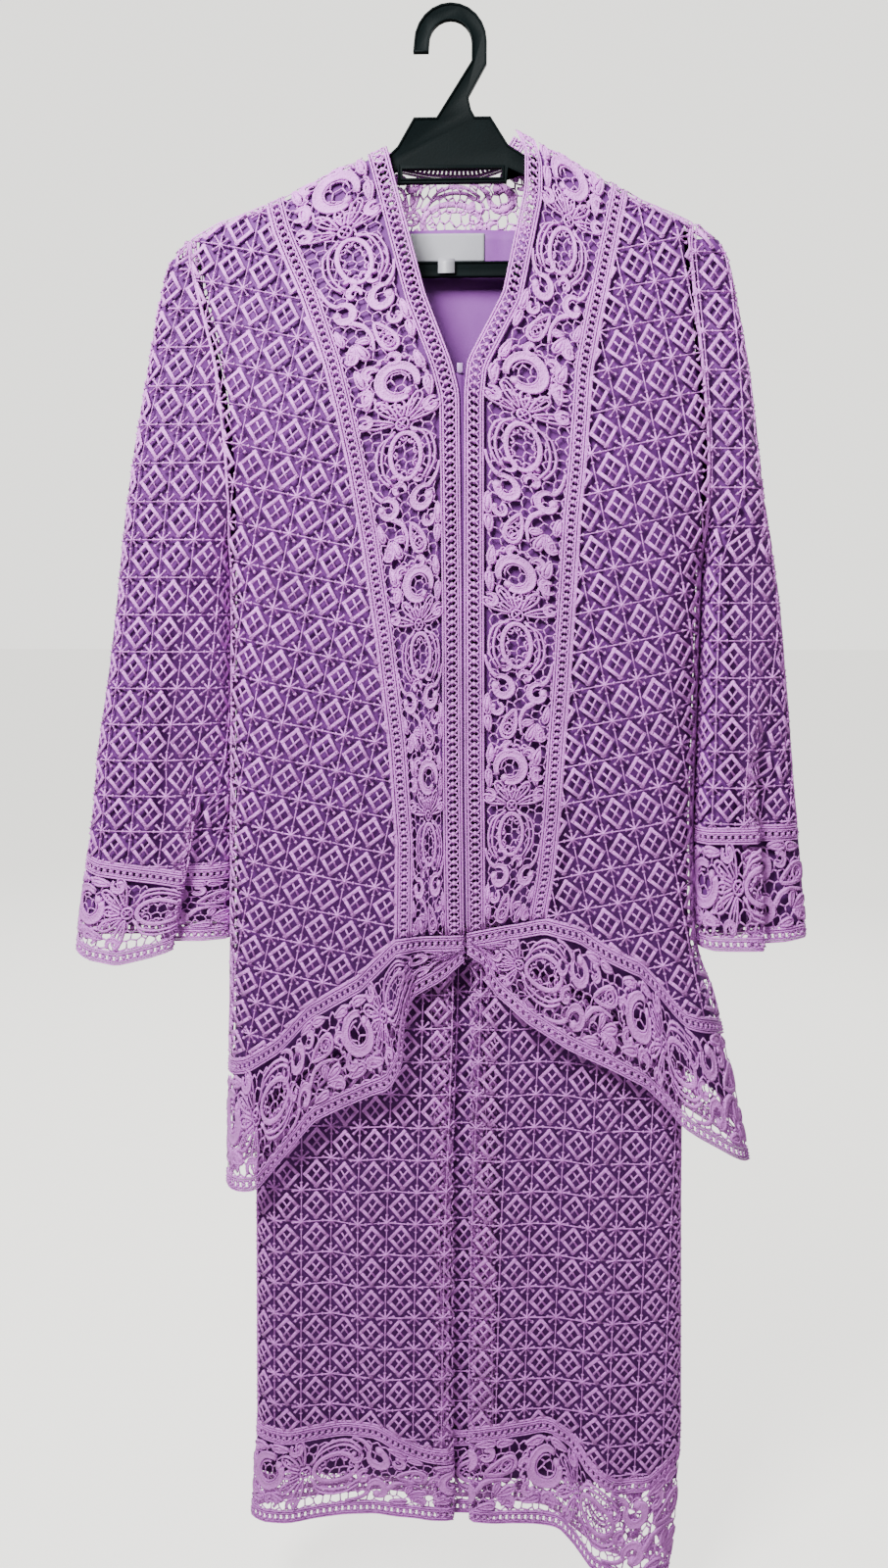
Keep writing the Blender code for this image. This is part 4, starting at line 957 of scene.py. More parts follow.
def plan_area(points, faces):
    """Half the area of closed threads pressed flat, in square millimetres."""
    total = 0.0
    for face in faces:
        corners = points[face]
        for k in range(1, face.shape[1] - 1):
            cross = np.cross(corners[:, k] - corners[:, 0], corners[:, k + 1] - corners[:, 0])
            total += 0.5 * float(np.linalg.norm(cross, axis=1).sum())
    return 0.5 * total


def lay(name, laid, material, base=BURIED):
    """Makes one mesh of drawings laid on their cloths, and gives it with its plan area."""
    points, pressed, faces, start = [], [], [], 0
    for threads, cloth, place in laid:
        flat = np.concatenate(threads.flat)
        flat = place(flat) if place else flat
        points.append(cloth.at(flat, np.concatenate(threads.heights) + base))
        pressed.append(cloth.at(flat))
        turned = [face[:, ::-1] for face in threads.faces] if cloth.turned else threads.faces
        faces += [face + start for face in turned]
        start += len(flat)
    area = plan_area(np.concatenate(pressed), faces)
    return mesh_object(name, np.concatenate(points), faces, material), area


def mesh_object(name, points, faces, material):
    """A mesh from points in millimetres and blocks of faces with the same number of corners."""
    mesh = bpy.data.meshes.new(name)
    loops = np.concatenate([face.reshape(-1) for face in faces])
    sizes = np.concatenate([np.full(len(face), face.shape[1]) for face in faces])
    mesh.vertices.add(len(points))
    mesh.vertices.foreach_set("co", (points * MM).astype(np.float32).ravel())
    mesh.loops.add(len(loops))
    mesh.loops.foreach_set("vertex_index", loops.astype(np.int32))
    mesh.polygons.add(len(sizes))
    starts = np.concatenate([[0], np.cumsum(sizes)[:-1]])
    mesh.polygons.foreach_set("loop_start", starts.astype(np.int32))
    mesh.polygons.foreach_set("use_smooth", np.ones(len(sizes), bool))
    mesh.update(calc_edges=True)
    mesh.validate()
    mesh.materials.append(material)
    made = bpy.data.objects.new(name, mesh)
    bpy.context.scene.collection.objects.link(made)
    return made


def shell(name, grid, wall, material):
    """A thin closed shell of cloth through a grid of points."""
    rows, cols = grid.shape[:2]
    i, j = np.meshgrid(np.arange(rows - 1), np.arange(cols - 1), indexing="ij")
    a = (i * cols + j).ravel()
    faces = np.stack([a, a + cols, a + cols + 1, a + 1], axis=1)
    made = mesh_object(name, grid.reshape(-1, 3), [faces], material)
    only(made)
    solidify = made.modifiers.new("Wall", "SOLIDIFY")
    solidify.thickness, solidify.offset = wall * MM, 0.0
    bpy.ops.object.modifier_apply(modifier=solidify.name)
    return made


def only(piece):
    """Selects one object alone."""
    bpy.ops.object.select_all(action="DESELECT")
    piece.select_set(True)
    bpy.context.view_layer.objects.active = piece


def between_edges(top, bottom, left, right, across, down):
    """Flat places of a four-sided panel, rows from top to bottom."""
    top, bottom = evenly(top, across)[None], evenly(bottom, across)[None]
    left, right = evenly(left, down)[:, None], evenly(right, down)[:, None]
    s, t = np.linspace(0, 1, across)[None, :, None], np.linspace(0, 1, down)[:, None, None]
    corners = ((1 - s) * (1 - t) * left[0, 0] + s * (1 - t) * right[0, 0]
               + (1 - s) * t * left[-1, 0] + s * t * right[-1, 0])
    return (1 - t) * top + t * bottom + (1 - s) * left + s * right - corners


def stretch(rows, high, low, inset=0.0):
    """A side's line between two heights, from the top down."""
    table = sorted(rows, key=lambda row: -row[0])
    kept = [(x, z) for z, x in table if low < z < high]
    ends = [(float(column(rows, z)), z) for z in (high, low)]
    return [(x + inset, z) for x, z in [ends[0]] + kept + [ends[1]]]


def shoulder(low, high, drop):
    kept = [(x, z) for x, z in SHOULDER_LINE if low < x < high]
    ends = [(x, float(column(SHOULDER_LINE, x))) for x in (low, high)]
    return [(x, z - drop) for x, z in [ends[0]] + kept + [ends[1]]]


def thread_grain():
    """Node group: fine twist of a lace thread, as a height and a shade."""
    group = bpy.data.node_groups.get("Thread grain")
    if group:
        return group
    group = bpy.data.node_groups.new("Thread grain", "ShaderNodeTree")
    fineness = group.interface.new_socket("Fineness", in_out="INPUT", socket_type="NodeSocketFloat")
    fineness.default_value = 900.0
    group.interface.new_socket("Height", in_out="OUTPUT", socket_type="NodeSocketFloat")
    group.interface.new_socket("Shade", in_out="OUTPUT", socket_type="NodeSocketFloat")
    nodes, links = group.nodes, group.links
    entry, leave = nodes.new("NodeGroupInput"), nodes.new("NodeGroupOutput")
    place = nodes.new("ShaderNodeTexCoord")
    fine = nodes.new("ShaderNodeTexNoise")
    fine.inputs["Detail"].default_value = 3.0
    broad = nodes.new("ShaderNodeTexNoise")
    broad.inputs["Scale"].default_value = 38.0
    broad.inputs["Detail"].default_value = 4.0
    links.new(place.outputs["Object"], fine.inputs["Vector"])
    links.new(entry.outputs["Fineness"], fine.inputs["Scale"])
    links.new(place.outputs["Object"], broad.inputs["Vector"])
    stitch = nodes.new("ShaderNodeTexVoronoi")
    stitch.inputs["Randomness"].default_value = 0.75
    links.new(place.outputs["Object"], stitch.inputs["Vector"])
    links.new(entry.outputs["Fineness"], stitch.inputs["Scale"])
    raised = nodes.new("ShaderNodeMath")
    raised.operation = "SUBTRACT"
    links.new(fine.outputs["Fac"], raised.inputs[0])
    links.new(stitch.outputs["Distance"], raised.inputs[1])
    links.new(raised.outputs[0], leave.inputs["Height"])
    mix = nodes.new("ShaderNodeMath")
    mix.operation = "MULTIPLY"
    links.new(fine.outputs["Fac"], mix.inputs[0])
    links.new(broad.outputs["Fac"], mix.inputs[1])
    links.new(mix.outputs[0], leave.inputs["Shade"])
    return group


def grained(name, dark, light, rough, fineness, bump, metal=0.0):
    """A material whose colour and relief vary with the thread grain."""
    material = bpy.data.materials.new(name)
    material.use_nodes = True
    nodes, links = material.node_tree.nodes, material.node_tree.links
    shader = nodes["Principled BSDF"]
    grain = nodes.new("ShaderNodeGroup")
    grain.node_tree = thread_grain()
    grain.inputs["Fineness"].default_value = fineness
    ramp = nodes.new("ShaderNodeValToRGB")
    ramp.color_ramp.elements[0].position, ramp.color_ramp.elements[1].position = 0.12, 0.42
    ramp.color_ramp.elements[0].color = (*dark, 1.0)
    ramp.color_ramp.elements[1].color = (*light, 1.0)
    links.new(grain.outputs["Shade"], ramp.inputs["Fac"])
    links.new(ramp.outputs["Color"], shader.inputs["Base Color"])
    relief = nodes.new("ShaderNodeBump")
    relief.inputs["Strength"].default_value = 0.6
    relief.inputs["Distance"].default_value = bump
    links.new(grain.outputs["Height"], relief.inputs["Height"])
    links.new(relief.outputs["Normal"], shader.inputs["Normal"])
    shader.inputs["Roughness"].default_value = rough
    shader.inputs["Metallic"].default_value = metal
    return material


def shaded(colour, share):
    return tuple(max(part * share, 0.0) for part in colour)


# Finish: colour of the set, its darkest and lightest share, roughness, fineness, relief, metallic, specular
FINISHES = {
    "Lace thread": ("lace", 0.74, 1.08, 0.62, 640.0, 0.0009, 0.0, 0.5),
    # Satin lining is painted darker than the lining colour, as painted shade under the lace, and also serves
    # the waistband and zip tape. Satin lining inside is the lit copy of the same lining, painted lighter, and
    # is used for the back lining.
    "Satin lining": ("lining", 0.55, 0.72, 0.6, 2200.0, 0.00015, 0.0, 0.08),
    "Satin lining inside": ("lining", 0.9, 1.15, 0.55, 2200.0, 0.00015, 0.0, 0.2),
    "Black plastic": ("hanger", 0.8, 1.3, 0.5, 700.0, 0.00006, 0.0, 0.04),
    "Ribbon": ("lining", 1.9, 2.3, 0.38, 1800.0, 0.0002, 0.0, 0.5),
    "Label satin": ("label", 0.9, 1.08, 0.34, 2600.0, 0.00012, 0.0, 0.5),
    "Zip metal": ("metal", 0.85, 1.1, 0.38, 900.0, 0.00003, 0.2, 0.5),
}


def finish_named(name):
    """The finishes, made once each from the set's colours."""
    found = bpy.data.materials.get(name)
    if found:
        return found
    colours = bpy.context.scene.lace_set_colours
    if name not in FINISHES:
        raise RuntimeError(f"no finish is named {name}")
    colour, dark, light, rough, fineness, bump, metal, shine = FINISHES[name]
    colour = getattr(colours, colour)
    made = grained(name, shaded(colour, dark), shaded(colour, light), rough, fineness, bump, metal)
    made.node_tree.nodes["Principled BSDF"].inputs["Specular IOR Level"].default_value = shine
    if name == "Lace thread":
        made.node_tree.nodes["Principled BSDF"].inputs["Sheen Weight"].default_value = 0.1
    return made


def placed(piece, slot, *nodes):
    """Attaches a piece to the root and hides the solids it stands for; its slot is not used."""
    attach(piece, "root")
    if nodes:
        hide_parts(*nodes)


def declared(piece, cut, rests_on, slot, *nodes, area=None, on_it=()):
    """Places a sheet of cloth; its flat cut is not used."""
    placed(piece, slot, *nodes)


def stated_area(area, cut):
    whole = cut[0] * cut[1]
    return min(max(area, LEAST_CUT_SHARE * whole), whole)


def thread_area(area, cut):
    """The same for lace, from the plan area of its threads in square millimetres, gaps left out."""
    return stated_area(area * MM * MM, cut)


def cloths():
    """The surfaces that pieces are laid on, made once."""
    if not CLOTHS:
        CLOTHS["front"] = sheet_of_depths(body_front, -1, -205, 270, -935, -70)
        CLOTHS["back"] = sheet_of_depths(body_back, 1, -205, 270, -935, -70)
        for side in (-1, 1):
            top = (LEFT_SLEEVE if side < 0 else RIGHT_SLEEVE)[0][0]
            CLOTHS["sleeve_front", side] = sheet_of_sections(
                lambda z, side=side: sleeve_front(side, z), -1, -724, top, 140)
            CLOTHS["sleeve_back", side] = sheet_of_sections(
                lambda z, side=side: sleeve_back(side, z), 1, -724, top, 70)
        CLOTHS["skirt_front"] = sheet_of_sections(skirt_front, -1, -1295, SKIRT_TOP, 300, 3)
        CLOTHS["skirt_back"] = sheet_of_sections(skirt_back, 1, -1295, SKIRT_TOP, 150, 3)
    return CLOTHS


CLOTHS = {}


class LaceSetSizes(bpy.types.PropertyGroup):
    """Sizes of the lace that a user may change."""

    cell_width: FloatProperty(name="Cell width", description="Distance between stars across", default=0.0245,
                              min=0.01, max=0.06, unit="LENGTH")
    cell_height: FloatProperty(name="Cell height", description="Distance between stars down", default=0.0288,
                               min=0.01, max=0.06, unit="LENGTH")
    frame_width: FloatProperty(name="Diamond side", description="Width of the tapes round a diamond",
                               default=0.0030,
                               min=0.001, max=0.008, unit="LENGTH")
    diamond_share: FloatProperty(name="Diamond share", description="Part of a cell that its diamond fills",
                                 default=0.92, min=0.5, max=1.0, subtype="FACTOR")
    cross_width: FloatProperty(name="Diamond cross", description="Width of the cross in a diamond",
                               default=0.0017,
                               min=0.001, max=0.006, unit="LENGTH")
    star_reach: FloatProperty(name="Star reach", description="Length of a star's arms", default=0.0068,
                              min=0.002, max=0.012, unit="LENGTH")
    arm_width: FloatProperty(name="Star arm", description="Width of a star's arms", default=0.0015,
                             min=0.0005, max=0.004, unit="LENGTH")
    net_width: FloatProperty(name="Net cord", description="Width of the cords that join the stars",
                             default=0.0011,
                             min=0.0005, max=0.004, unit="LENGTH")
    lining_wall: FloatProperty(name="Lining wall", description="Thickness of the lining", default=0.0008,
                               min=0.0003, max=0.002, unit="LENGTH")


class LaceSetColours(bpy.types.PropertyGroup):
    """Colours of the set that a user may change."""

    lace: FloatVectorProperty(name="Lace", description="Colour of the lace thread", subtype="COLOR", size=3,
                              default=(0.73, 0.218, 0.80), min=0.0, max=1.0)
    lining: FloatVectorProperty(name="Lining", description="Colour of the lining", subtype="COLOR", size=3,
                                default=(0.20, 0.048, 0.28), min=0.0, max=1.0)
    hanger: FloatVectorProperty(name="Hanger", description="Colour of the hanger", subtype="COLOR", size=3,
                                default=(0.0015, 0.0035, 0.0038), min=0.0, max=1.0)
    label: FloatVectorProperty(name="Label", description="Colour of the neck label", subtype="COLOR", size=3,
                               default=(0.30, 0.30, 0.33), min=0.0, max=1.0)
    metal: FloatVectorProperty(name="Zip metal", description="Colour of the zip's slider", subtype="COLOR",
                               size=3, default=(0.42, 0.24, 0.52), min=0.0, max=1.0)


def panel_outline(top, left, right, bottom):
    """A closed outline from four edges: top left to right, right down, bottom right to left, left up."""
    ring = list(top) + list(right) + list(bottom)[::-1] + list(left)[::-1]
    kept = [ring[0]]
    for point in ring[1:]:
        if math.dist(point, kept[-1]) > 0.5:
            kept.append(point)
    return kept


class LACESET_OT_top_lattice(bpy.types.Operator):
    """Makes the lattice lace of the top's fronts and back."""

    bl_idname = "laceset.top_lattice"
    bl_label = "Top lattice lace"

    def execute(self, context):
        sizes = context.scene.lace_set_sizes
        lace = finish_named("Lace thread")
        wide, tall = sizes.cell_width / MM, sizes.cell_height / MM
        left = panel_outline(shoulder(-194.5, -137, 0.8), stretch(LEFT_SIDE, -152.8, -802.6),
                             BAND_LEFT_OUTER, HEM_LEFT_UPPER[:6])
        right = panel_outline(shoulder(134, 182.5, 0.8), BAND_RIGHT_OUTER,
                              stretch(RIGHT_SIDE, -144.3, -764.6), HEM_RIGHT_UPPER[1:])
        back = panel_outline(
            shoulder(-194.5, -138.5, 0.8) + list(COLLAR_LOW) + shoulder(135.5, 182.5, 0.8),
            stretch(LEFT_SIDE, -152.8, -802.6), stretch(RIGHT_SIDE, -144.3, -764.6), HEM_BACK_UPPER)
        jobs = (
            ("front_left", left, "front", (wide * 0.98, -wide * 0.2), (tall * 0.22, tall * 0.97),
             (0.30, 0.68)),
            ("front_right", right, "front", (wide * 0.98, wide * 0.2), (-tall * 0.22, tall * 0.97),
             (0.26, 0.63)),
            ("back", back, "back", (wide, 0.0), (0.0, tall), (0.46, 0.73)),
        )
        for word, outline, cloth, step, rise, cut in jobs:
            threads = lattice(outline, step, rise, (4.0, 6.0))
            piece, area = lay(f"lace_{word}", [(threads, cloths()[cloth], None)], lace)
            declared(piece, cut, ["hanger"], "lace", word, area=thread_area(area, cut))
        return {"FINISHED"}


def flower_border(word, band, low_strip, top_strip, seed):
    """A border laid along a band: a net with a beaded strip on each edge, and raised motifs on it."""
    tiles = max(1, round(band.length / TILE))
    motifs = Threads()
    tile = flower_tile()
    for n in range(tiles):
        motifs.join(tile, n * TILE)
    place = band.between(low_strip - STRIP_OVERLAP, top_strip - STRIP_OVERLAP, ZONE)
    share = band.length / (tiles * TILE)

    def fitted(flat):
        along = np.clip(flat[:, 0] * share, 0.0, band.length)
        return place(np.stack([along, np.clip(flat[:, 1], -1.0, ZONE + 1.0)], axis=1))

    low, top = beaded_strip(band.length, low_strip), beaded_strip(band.length, top_strip)
    top.faces = [face[:, ::-1] for face in top.faces]
    laid = [(bride_net(band.length, ZONE, seed), band.cloth, place), (low, band.cloth, band.from_low),
            (top, band.cloth, band.from_top)]
    lace = finish_named("Lace thread")
    raised, _ = lay(f"motifs_{word}", [(motifs, band.cloth, fitted)], lace, BURIED_MOTIF)
    placed(raised, "lace")
    piece, area = lay(f"border_{word}", laid, lace)
    cut = (round(band.length * MM, 3), round(float(band.widths.max()) * MM, 3))
    declared(piece, cut, ["hanger"], "lace", word, area=thread_area(area, cut), on_it=[raised])


class LACESET_OT_top_borders(bpy.types.Operator):
    """Makes the floral borders of the top: front bands, neck band and hem."""

    bl_idname = "laceset.top_borders"
    bl_label = "Top borders"

    def execute(self, context):
        front, back = cloths()["front"], cloths()["back"]
        jobs = (
            ("band_left", front, -1, BAND_LEFT_OUTER, BAND_LEFT_INNER, 13.5, 16.0),
            ("band_right", front, -1, BAND_RIGHT_OUTER, BAND_RIGHT_INNER, 13.5, 16.0),
            ("band_back", back, 1, COLLAR_LOW, COLLAR_TOP, 11.0, 11.0),
            ("hem_front_left", front, -1, HEM_LEFT_LOWER, HEM_LEFT_UPPER, 13.0, 13.0),
            ("hem_front_right", front, -1, HEM_RIGHT_LOWER, HEM_RIGHT_UPPER, 13.0, 13.0),
            ("hem_back", back, 1, HEM_BACK_LOWER, HEM_BACK_UPPER, 13.0, 13.0),
        )
        for n, (word, cloth, face, low, top, low_strip, top_strip) in enumerate(jobs):
            flower_border(word, Band(cloth, low, top, face), low_strip, top_strip, NET_SEED + n)
        return {"FINISHED"}


def lining_gathers(points, top):
    """Small upright puckers below a gathered seam."""
    x, z = points[..., 0], points[..., 2]
    fade = np.exp((z - top) / 22.0)
    pucker = 0.45 * np.sin(x / 1.9 + 1.9 * np.sin(x / 11.0)) * (0.6 + 0.4 * np.sin(x / 17.0))
    return points + np.stack([np.zeros_like(x), pucker * fade, np.zeros_like(x)], axis=-1)


class LACESET_OT_top_lining(bpy.types.Operator):
    """Makes the lining inside the top."""

    bl_idname = "laceset.top_lining"
    bl_label = "Top lining"

    def execute(self, context):
        wall = context.scene.lace_set_sizes.lining_wall / MM
        inset = LINING_INSET
        left_inner = [(-57, -95)] + [(x - 8.0, z) for x, z in BAND_LEFT_INNER[1:-1]] + [(6, -662)]
        right_inner = [(68, -92)] + [(x + 10.0, z) for x, z in BAND_RIGHT_INNER[2:-1]] + [(24, -656)]
        left = between_edges(shoulder(-189, -57, inset + 0.8), LINING_LEFT_END,
                             stretch(LEFT_SIDE, -156, -868, 0.5), left_inner, 40, 90)
        right = between_edges(shoulder(68, 177, inset + 0.8), LINING_RIGHT_END, right_inner,
                              stretch(RIGHT_SIDE, -149, -838, -0.5), 40, 90)
        top = shoulder(-189, -140, inset + 0.8) + list(LINING_BACK_TOP) + shoulder(137, 177, inset + 0.8)
        back = between_edges(top, LINING_BACK_END, stretch(LEFT_SIDE, -156, -868, 0.5),
                             stretch(RIGHT_SIDE, -149, -838, -0.5), 130, 80)
        jobs = (("lining_front_left", left, body_front, (0.22, 0.77)),
                ("lining_front_right", right, body_front, (0.24, 0.75)),
                ("lining_back", back, body_back, (0.45, 0.73)))
        for word, flat, depth, cut in jobs:
            x, z = flat[..., 0], flat[..., 1]
            y = depth(x.ravel(), z.ravel(), inset).reshape(x.shape)
            y -= np.sign(y) * (SEAM_HALF - LINING_SEAM)
            points = np.stack([x, y, z], axis=-1)
            if word == "lining_back":
                points = lining_gathers(points, -144.0)
            # The back lining takes the lit copy of the satin lining, painted lighter; the front linings take
            # the copy painted darker as shade under the lace.
            inside_out = " inside" if word == "lining_back" else ""
            piece = shell(f"{word}_cloth", points, wall, finish_named(f"Satin lining{inside_out}"))
            area = measured_area(piece)
            declared(piece, cut, ["hanger"], "lining", word, area=stated_area(area, cut))
        return {"FINISHED"}


def measured_area(piece):
    """Half of a thin closed shell's surface, in square metres."""
    return 0.5 * sum(face.area for face in piece.data.polygons)


class LACESET_OT_sleeves(bpy.types.Operator):
    """Makes the sleeves' lattice lace, cuffs and linings."""

    bl_idname = "laceset.sleeves"
    bl_label = "Sleeves"

    def execute(self, context):
        sizes = context.scene.lace_set_sizes
        lace, satin = finish_named("Lace thread"), finish_named("Satin lining")
        wide, tall, wall = sizes.cell_width / MM, sizes.cell_height / MM, sizes.lining_wall / MM
        for side, word in ((-1, "left"), (1, "right")):
            rows = LEFT_SLEEVE if side < 0 else RIGHT_SLEEVE
            for face, part, count in ((-1, "front", 14), (1, "back", 7)):
                cloth = cloths()[f"sleeve_{part}", side]
                first = 0 if face < 0 else 14

                def edge(table):
                    """A cuff's edge along the sleeve's section."""
                    line = []
                    for place in np.linspace(0, count, 4 * count + 1):
                        z = float(column(table, first + place))
                        line.append((cloth.across(place, z), z))
                    return line

                top, low = edge(CUFF_TOP[side]), edge(CUFF_LOW[side])
                start = rows[0][0] - 1.0
                left = [(0.2, z) for z in np.linspace(start, top[0][1] + 1.0, 40)]
                right = [(float(cloth.width_at(z)) - 0.2, z) for z in np.linspace(start, top[-1][1] + 1, 40)]
                outline = panel_outline([left[0], right[0]], left, right, [(x, z + 0.9) for x, z in top])
                threads = lattice(outline, (wide, 0.0), (0.0, tall), (3.0, 5.0))
                piece, area = lay(f"lace_sleeve_{word}_{part}", [(threads, cloth, None)], lace)
                cut = (round(float(cloth.width_at(-600.0)) * MM, 3), SLEEVE_CUT)
                declared(piece, cut, ["hanger"], "lace", f"sleeve_{word}_{part}",
                         area=thread_area(area, cut))
                band = Band(cloth, low, top, face, 120)
                flower_border(f"cuff_{word}_{part}", band, 12.0, 12.0, NET_SEED + 20 + side)
                section = sleeve_lining_front if face < 0 else sleeve_lining_back
                lining = sheet_of_sections(lambda z, side=side, section=section: section(side, z), face,
                                           SLEEVE_LINING_END, SLEEVE_LINING_TOP[side], 32, 2, 10.0)
                piece = shell(f"sleeve_lining_{word}_{part}_cloth", lining.points, wall, satin)
                area = measured_area(piece)
                cut = (round(area / SLEEVE_LINING_CUT * TAPER, 3), SLEEVE_LINING_CUT)
                declared(piece, cut, ["hanger"], "lining", f"sleeve_lining_{word}_{part}", area=area)
        return {"FINISHED"}


class LACESET_OT_skirt(bpy.types.Operator):
    """Makes the skirt's lattice lace, hem border and lining."""

    bl_idname = "laceset.skirt"
    bl_label = "Skirt"

    def execute(self, context):
        sizes = context.scene.lace_set_sizes
        lace, satin = finish_named("Lace thread"), finish_named("Satin lining")
        wide, tall = sizes.cell_width / MM, sizes.cell_height / MM
        for face, part in ((-1, "front"), (1, "back")):
            cloth = cloths()[f"skirt_{part}"]
            section = skirt_front if face < 0 else skirt_back

            def edge(table):
                """A border's edge along the section, straight across the pleat's folded layers."""
                line = section(np.array([-1180.0]))[0]
                count = len(line)
                heights = column(table, line[:, 0])
                if face < 0:
                    first = 3 + SKIRT_STEPS
                    last = first + 12
                    heights[first:last + 1] = np.linspace(heights[first], heights[last], last - first + 1)
                places = np.linspace(0, count - 1, 8 * count)
                ups = np.interp(places, np.arange(count), heights)
                return [(cloth.across(place, z), z) for place, z in zip(places, ups)]

            top, low = edge(SKIRT_BORDER_TOP), edge(SKIRT_HEM)
            start = SKIRT_TOP - 0.5
            left = [(0.6, z) for z in np.linspace(start, top[0][1] + 1, 60)]
            right = [(float(cloth.width_at(z)) - 0.6, z) for z in np.linspace(start, top[-1][1] + 1, 60)]
            outline = panel_outline([left[0], right[0]], left, right, [(x, z + 1.0) for x, z in top])
            threads = lattice(outline, (wide, 0.0), (0.0, tall), (2.0, 6.0))
            piece, area = lay(f"lace_skirt_{part}", [(threads, cloth, None)], lace)
            cut = (round(float(cloth.width_at(-1100.0)) * MM, 3), SKIRT_CUT)
            declared(piece, cut, ["hanger"], "lace", f"skirt_{part}", area=thread_area(area, cut))
            band = Band(cloth, low, top, face, 240)
            flower_border(f"skirt_hem_{part}", band, 13.0, 13.0, NET_SEED + 40 + face)
            lining = sheet_of_sections(lambda z, face=face: skirt_lining(z, face), face,
                                       SKIRT_LINING_END, -306.0, 50, 3, 10.0)
            points = lining.points.copy()
            x, z = points[..., 0], points[..., 2]
            ripple = 0.9 * np.sin(x / 24.0 + 0.6 * np.sin(z / 190.0)) * smooth((-380.0 - z) / 400.0)
            points[..., 1] += ripple * np.minimum(1.0, (x - x.min(axis=1, keepdims=True)) / 40.0)
            piece = shell(f"skirt_lining_{part}_cloth", points, sizes.lining_wall / MM, satin)
            area = measured_area(piece)
            declared(piece, SKIRT_LINING_CUT, ["hanger"], "lining", f"skirt_lining_{part}",
                     area=stated_area(area, SKIRT_LINING_CUT))
        return {"FINISHED"}


def ribbon(name, path, wide, wall, material):
    """A flat ribbon along a path of points, laid across X."""
    path = evenly(softened(evenly(path, 60), 0, 3), 60)
    grid = np.stack([path + (-0.5 * wide, 0, 0), path + (0.5 * wide, 0, 0)], axis=1)
    return shell(name, grid, wall, material)


class LACESET_OT_waist(bpy.types.Operator):
    """Makes the skirt's waistband and its two hanging loops."""

    bl_idname = "laceset.waist"
    bl_label = "Waist"

    def execute(self, context):
        tape = finish_named("Ribbon")
        for face, part in ((-1, "front"), (1, "back")):
            rows = []
            for z in np.linspace(-262.0, -300.0, 12):
                left, right = float(column(SKIRT_SIDES, z, 1)), float(column(SKIRT_SIDES, z, 3))
                depths = (1.4, 9.0, 16.5, 16.5, 9.0, 1.4)
                if face > 0:
                    depths = tuple(1.4 + (depth - 1.4) * 0.38 for depth in depths)
                across = (left, left + 2, left + 12, right - 12, right - 2, right)
                line = evenly([(x, face * depth) for x, depth in zip(across, depths)], 160)
                line = softened(line, 0, 3)
                rib = 0.25 * math.sin((z + 262.0) * 1.1)
                rows.append([(x, y + face * rib, z) for x, y in line])
            piece = shell(f"waistband_{part}_cloth", np.array(rows), 2.0, finish_named("Satin lining"))
            area = measured_area(piece)
            cut = (round(area / WAISTBAND_CUT, 3), WAISTBAND_CUT)
            declared(piece, cut, ["hanger"], "lace", f"waistband_{part}", area=stated_area(area, cut))
        for word, middle in zip(("left", "right"), LOOP_PLACES):
            piece = ribbon(f"loop_{word}_ribbon", [(middle, y, z) for y, z in LOOP_PATH], 6.0, 0.8, tape)
            placed(piece, "ribbon", f"hanging_loop_{word}")
        return {"FINISHED"}


class LACESET_OT_label(bpy.types.Operator):
    """Makes the bare neck label and the bare size tab."""

    bl_idname = "laceset.label"
    bl_label = "Label"

    def execute(self, context):
        satin = finish_named("Label satin")
        xs, zs = np.linspace(*LABEL_SIDES, 40), np.linspace(*LABEL_UPS, 16)
        x, z = np.meshgrid(xs, zs)
        y = body_back(x.ravel(), z.ravel(), LINING_INSET).reshape(x.shape) - 1.5
        y = y + 0.25 * np.sin(x / 9.0) * (z - LABEL_UPS[0]) / 20.0
        piece = shell("neck_label_satin", np.stack([x, y, z], axis=-1), 0.6, satin)
        declared(piece, (0.0626, 0.0201), ["lining_back_cloth"], "label", "neck_label")
        label_y = float(body_back(np.array([0.0]), np.array([LABEL_UPS[1]]), LINING_INSET)[0]) - 1.6
        path = [(label_y, -166.9), (6.0, -166.4), (-2.6, -167.2), (-4.2, -169.6), (-4.3, -178.0)]
        piece = ribbon("size_tab_satin", [(0.5 * sum(TAB_SIDES), y, z) for y, z in path], 12.5, 0.6, satin)
        area = measured_area(piece)
        declared(piece, (0.0125, round(area / 0.0125, 4)), ["hanger"], "label", "size_tab", area=0.99 * area)
        return {"FINISHED"}


